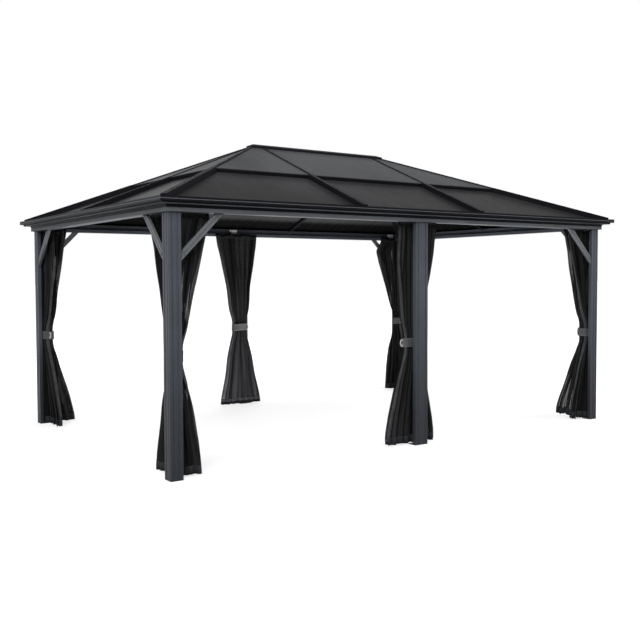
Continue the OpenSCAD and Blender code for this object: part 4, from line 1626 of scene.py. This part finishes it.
class GAZEBO_OT_ties(bpy.types.Operator):
    """Ties the nets at their waists, with a hook on each tie"""

    bl_idname = "gazebo.ties"
    bl_label = "Net ties"

    def execute(self, context):
        finish = context.scene.gazebo_finish
        tied = [corner_tie(corner, CORNER_TIE_SEED + i) for i, corner in enumerate(CORNERS)]
        tied += [middle_tie(side, MIDDLE_TIE_SEED + i) for i, side in enumerate(LONG_SIDES)]
        ties = join([strap for strap, _ in tied], "net_tie_straps")
        tie_cloth = cloth_material(
            "Tie cloth", finish.tie, across=1500.0, along=500.0, stitch_rows=(0.09, 0.91), stitch_count=130.0
        )
        hand_over(ties, tie_cloth)
        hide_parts("net_ties")
        hooks = repeat(model_hook(), [place for _, place in tied], "tie_hooks")
        smooth(hooks, HOOK_SMOOTHING)
        hand_over(hooks, plastic_material("Hook plastic", finish.hook))
        return {"FINISHED"}


class GAZEBO_OT_stage(bpy.types.Operator):
    """Sets the floor, the lights, the white surround and the camera"""

    bl_idname = "gazebo.stage"
    bl_label = "Stage"

    def execute(self, context):
        stage = context.scene.gazebo_stage
        lay_floor()
        light_surround(context.scene, stage.ambient)
        for name, place, target, size, share in LIGHTS:
            add_light(name, place, target, size, stage.key * share)
        place_camera(context.scene, stage)
        context.scene.view_settings.view_transform = "Standard"
        return {"FINISHED"}


# Stage


def seen_rays(tree):
    """1 for the rays that show the white background: straight ones and those that gloss or glass sends on."""
    path = tree.nodes.new("ShaderNodeLightPath")
    sent_on = maths(tree, "MAXIMUM", path.outputs["Is Glossy Ray"], path.outputs["Is Transmission Ray"])
    return maths(tree, "MAXIMUM", path.outputs["Is Camera Ray"], sent_on)


def lay_floor():
    """A pale floor that keeps the shadow and is white where it is lit."""
    clear_selection()
    bpy.ops.mesh.primitive_plane_add(size=FLOOR_SIZE, location=(0.0, 0.0, FLOOR_Z))
    floor = settle("floor")
    material = bpy.data.materials.new("Pale floor")
    material.use_nodes = True
    tree = material.node_tree
    tree.nodes.clear()
    seen = seen_rays(tree)
    tone = blend_colour(tree, seen, solid(WHITE, FLOOR_BOUNCE), solid(WHITE, FLOOR_TONE))
    matt = add_node(tree, "ShaderNodeBsdfDiffuse", None, {"Color": tone}).outputs["BSDF"]
    settings = {"operation": "LENGTH"}
    away = add_node(tree, "ShaderNodeVectorMath", settings, {0: coordinates(tree, "Object")}).outputs["Value"]
    level = maths(tree, "MULTIPLY", seen, spread(tree, away, 4.0, 11.0, 0.66, 1.0))
    glow = add_node(tree, "ShaderNodeEmission", None, {"Color": WHITE, "Strength": level}).outputs["Emission"]
    both = add_node(tree, "ShaderNodeAddShader", None, {0: matt, 1: glow}).outputs["Shader"]
    add_node(tree, "ShaderNodeOutputMaterial", None, {"Surface": both})
    floor.data.materials.append(material)


def light_surround(scene, ambient):
    """A surround that looks white and lights the object softly."""
    world = bpy.data.worlds.new("Studio surround")
    world.use_nodes = True
    tree = world.node_tree
    tree.nodes.clear()
    rise = axis_of(tree, coordinates(tree, "Generated"), "Z")
    strength = spread(tree, rise, 0.35, 0.48, ambient * 1.35, ambient * 0.35)
    soft = add_node(tree, "ShaderNodeBackground", None, {"Color": WHITE, "Strength": strength})
    white = add_node(tree, "ShaderNodeBackground", None, {"Color": WHITE, "Strength": 1.0})
    inputs = {0: seen_rays(tree), 1: soft.outputs["Background"], 2: white.outputs["Background"]}
    both = add_node(tree, "ShaderNodeMixShader", None, inputs).outputs["Shader"]
    add_node(tree, "ShaderNodeOutputWorld", None, {"Surface": both})
    scene.world = world


def add_light(name, place, target, size, power):
    """A square soft light that points at a target."""
    clear_selection()
    bpy.ops.object.light_add(type="AREA", location=place)
    lamp = bpy.context.active_object
    lamp.name = name
    lamp.data.shape = "SQUARE"
    lamp.data.size = size
    lamp.data.energy = power
    lamp.rotation_euler = (Vector(target) - Vector(place)).to_track_quat("-Z", "Y").to_euler()
    lamp.visible_camera = False
    lamp.visible_glossy = False


def place_camera(scene, stage):
    """The camera at its place, with its lens, tilt and small shift."""
    flat = math.cos(stage.pitch)
    look = Vector((math.sin(stage.yaw) * flat, math.cos(stage.yaw) * flat, -math.sin(stage.pitch)))
    right = look.cross(Vector((0.0, 0.0, 1.0))).normalized()
    up = right.cross(look)
    turned = right * math.cos(stage.roll) + up * math.sin(stage.roll)
    raised = turned.cross(look)
    clear_selection()
    bpy.ops.object.camera_add()
    camera = bpy.context.active_object
    camera.name = "camera"
    axes = Matrix((turned, raised, -look)).transposed()
    camera.matrix_world = Matrix.Translation(Vector(stage.camera)) @ axes.to_4x4()
    camera.data.sensor_width = SENSOR_WIDTH
    camera.data.lens = stage.lens
    camera.data.shift_x, camera.data.shift_y = CAMERA_SHIFT
    camera.data.clip_end = CLIP_END
    scene.camera = camera


class GAZEBO_PT_sidebar(bpy.types.Panel):
    """Sizes, colours and steps of the gazebo"""

    bl_idname = "GAZEBO_PT_sidebar"
    bl_label = "Metal gazebo"
    bl_space_type = "VIEW_3D"
    bl_region_type = "UI"
    bl_category = "Gazebo"

    def draw(self, context):
        layout = self.layout
        for group in (context.scene.gazebo_finish, context.scene.gazebo_nets, context.scene.gazebo_stage):
            box = layout.box()
            for name in group.__annotations__:
                box.prop(group, name)
        for step in STEPS:
            layout.operator(step.bl_idname)


STEPS = (
    GAZEBO_OT_finish_frame,
    GAZEBO_OT_finish_roof,
    GAZEBO_OT_anchors,
    GAZEBO_OT_screws,
    GAZEBO_OT_brackets,
    GAZEBO_OT_nets,
    GAZEBO_OT_gliders,
    GAZEBO_OT_ties,
    GAZEBO_OT_stage,
)
CLASSES = (GazeboFinish, GazeboNets, GazeboStage) + STEPS + (GAZEBO_PT_sidebar,)


def register():
    """Registers the classes and ties the settings to the scene."""
    for item in CLASSES:
        bpy.utils.register_class(item)
    bpy.types.Scene.gazebo_finish = bpy.props.PointerProperty(type=GazeboFinish)
    bpy.types.Scene.gazebo_nets = bpy.props.PointerProperty(type=GazeboNets)
    bpy.types.Scene.gazebo_stage = bpy.props.PointerProperty(type=GazeboStage)


def unregister():
    """Removes the settings and the classes."""
    del bpy.types.Scene.gazebo_stage
    del bpy.types.Scene.gazebo_nets
    del bpy.types.Scene.gazebo_finish
    for item in reversed(CLASSES):
        bpy.utils.unregister_class(item)


def main():
    """Registers the add-on and runs its steps in order."""
    register()
    bpy.ops.gazebo.finish_frame()
    bpy.ops.gazebo.finish_roof()
    bpy.ops.gazebo.anchors()
    bpy.ops.gazebo.screws()
    bpy.ops.gazebo.brackets()
    bpy.ops.gazebo.nets()
    bpy.ops.gazebo.gliders()
    bpy.ops.gazebo.ties()
    bpy.ops.gazebo.stage()


if __name__ == "__main__":
    main()
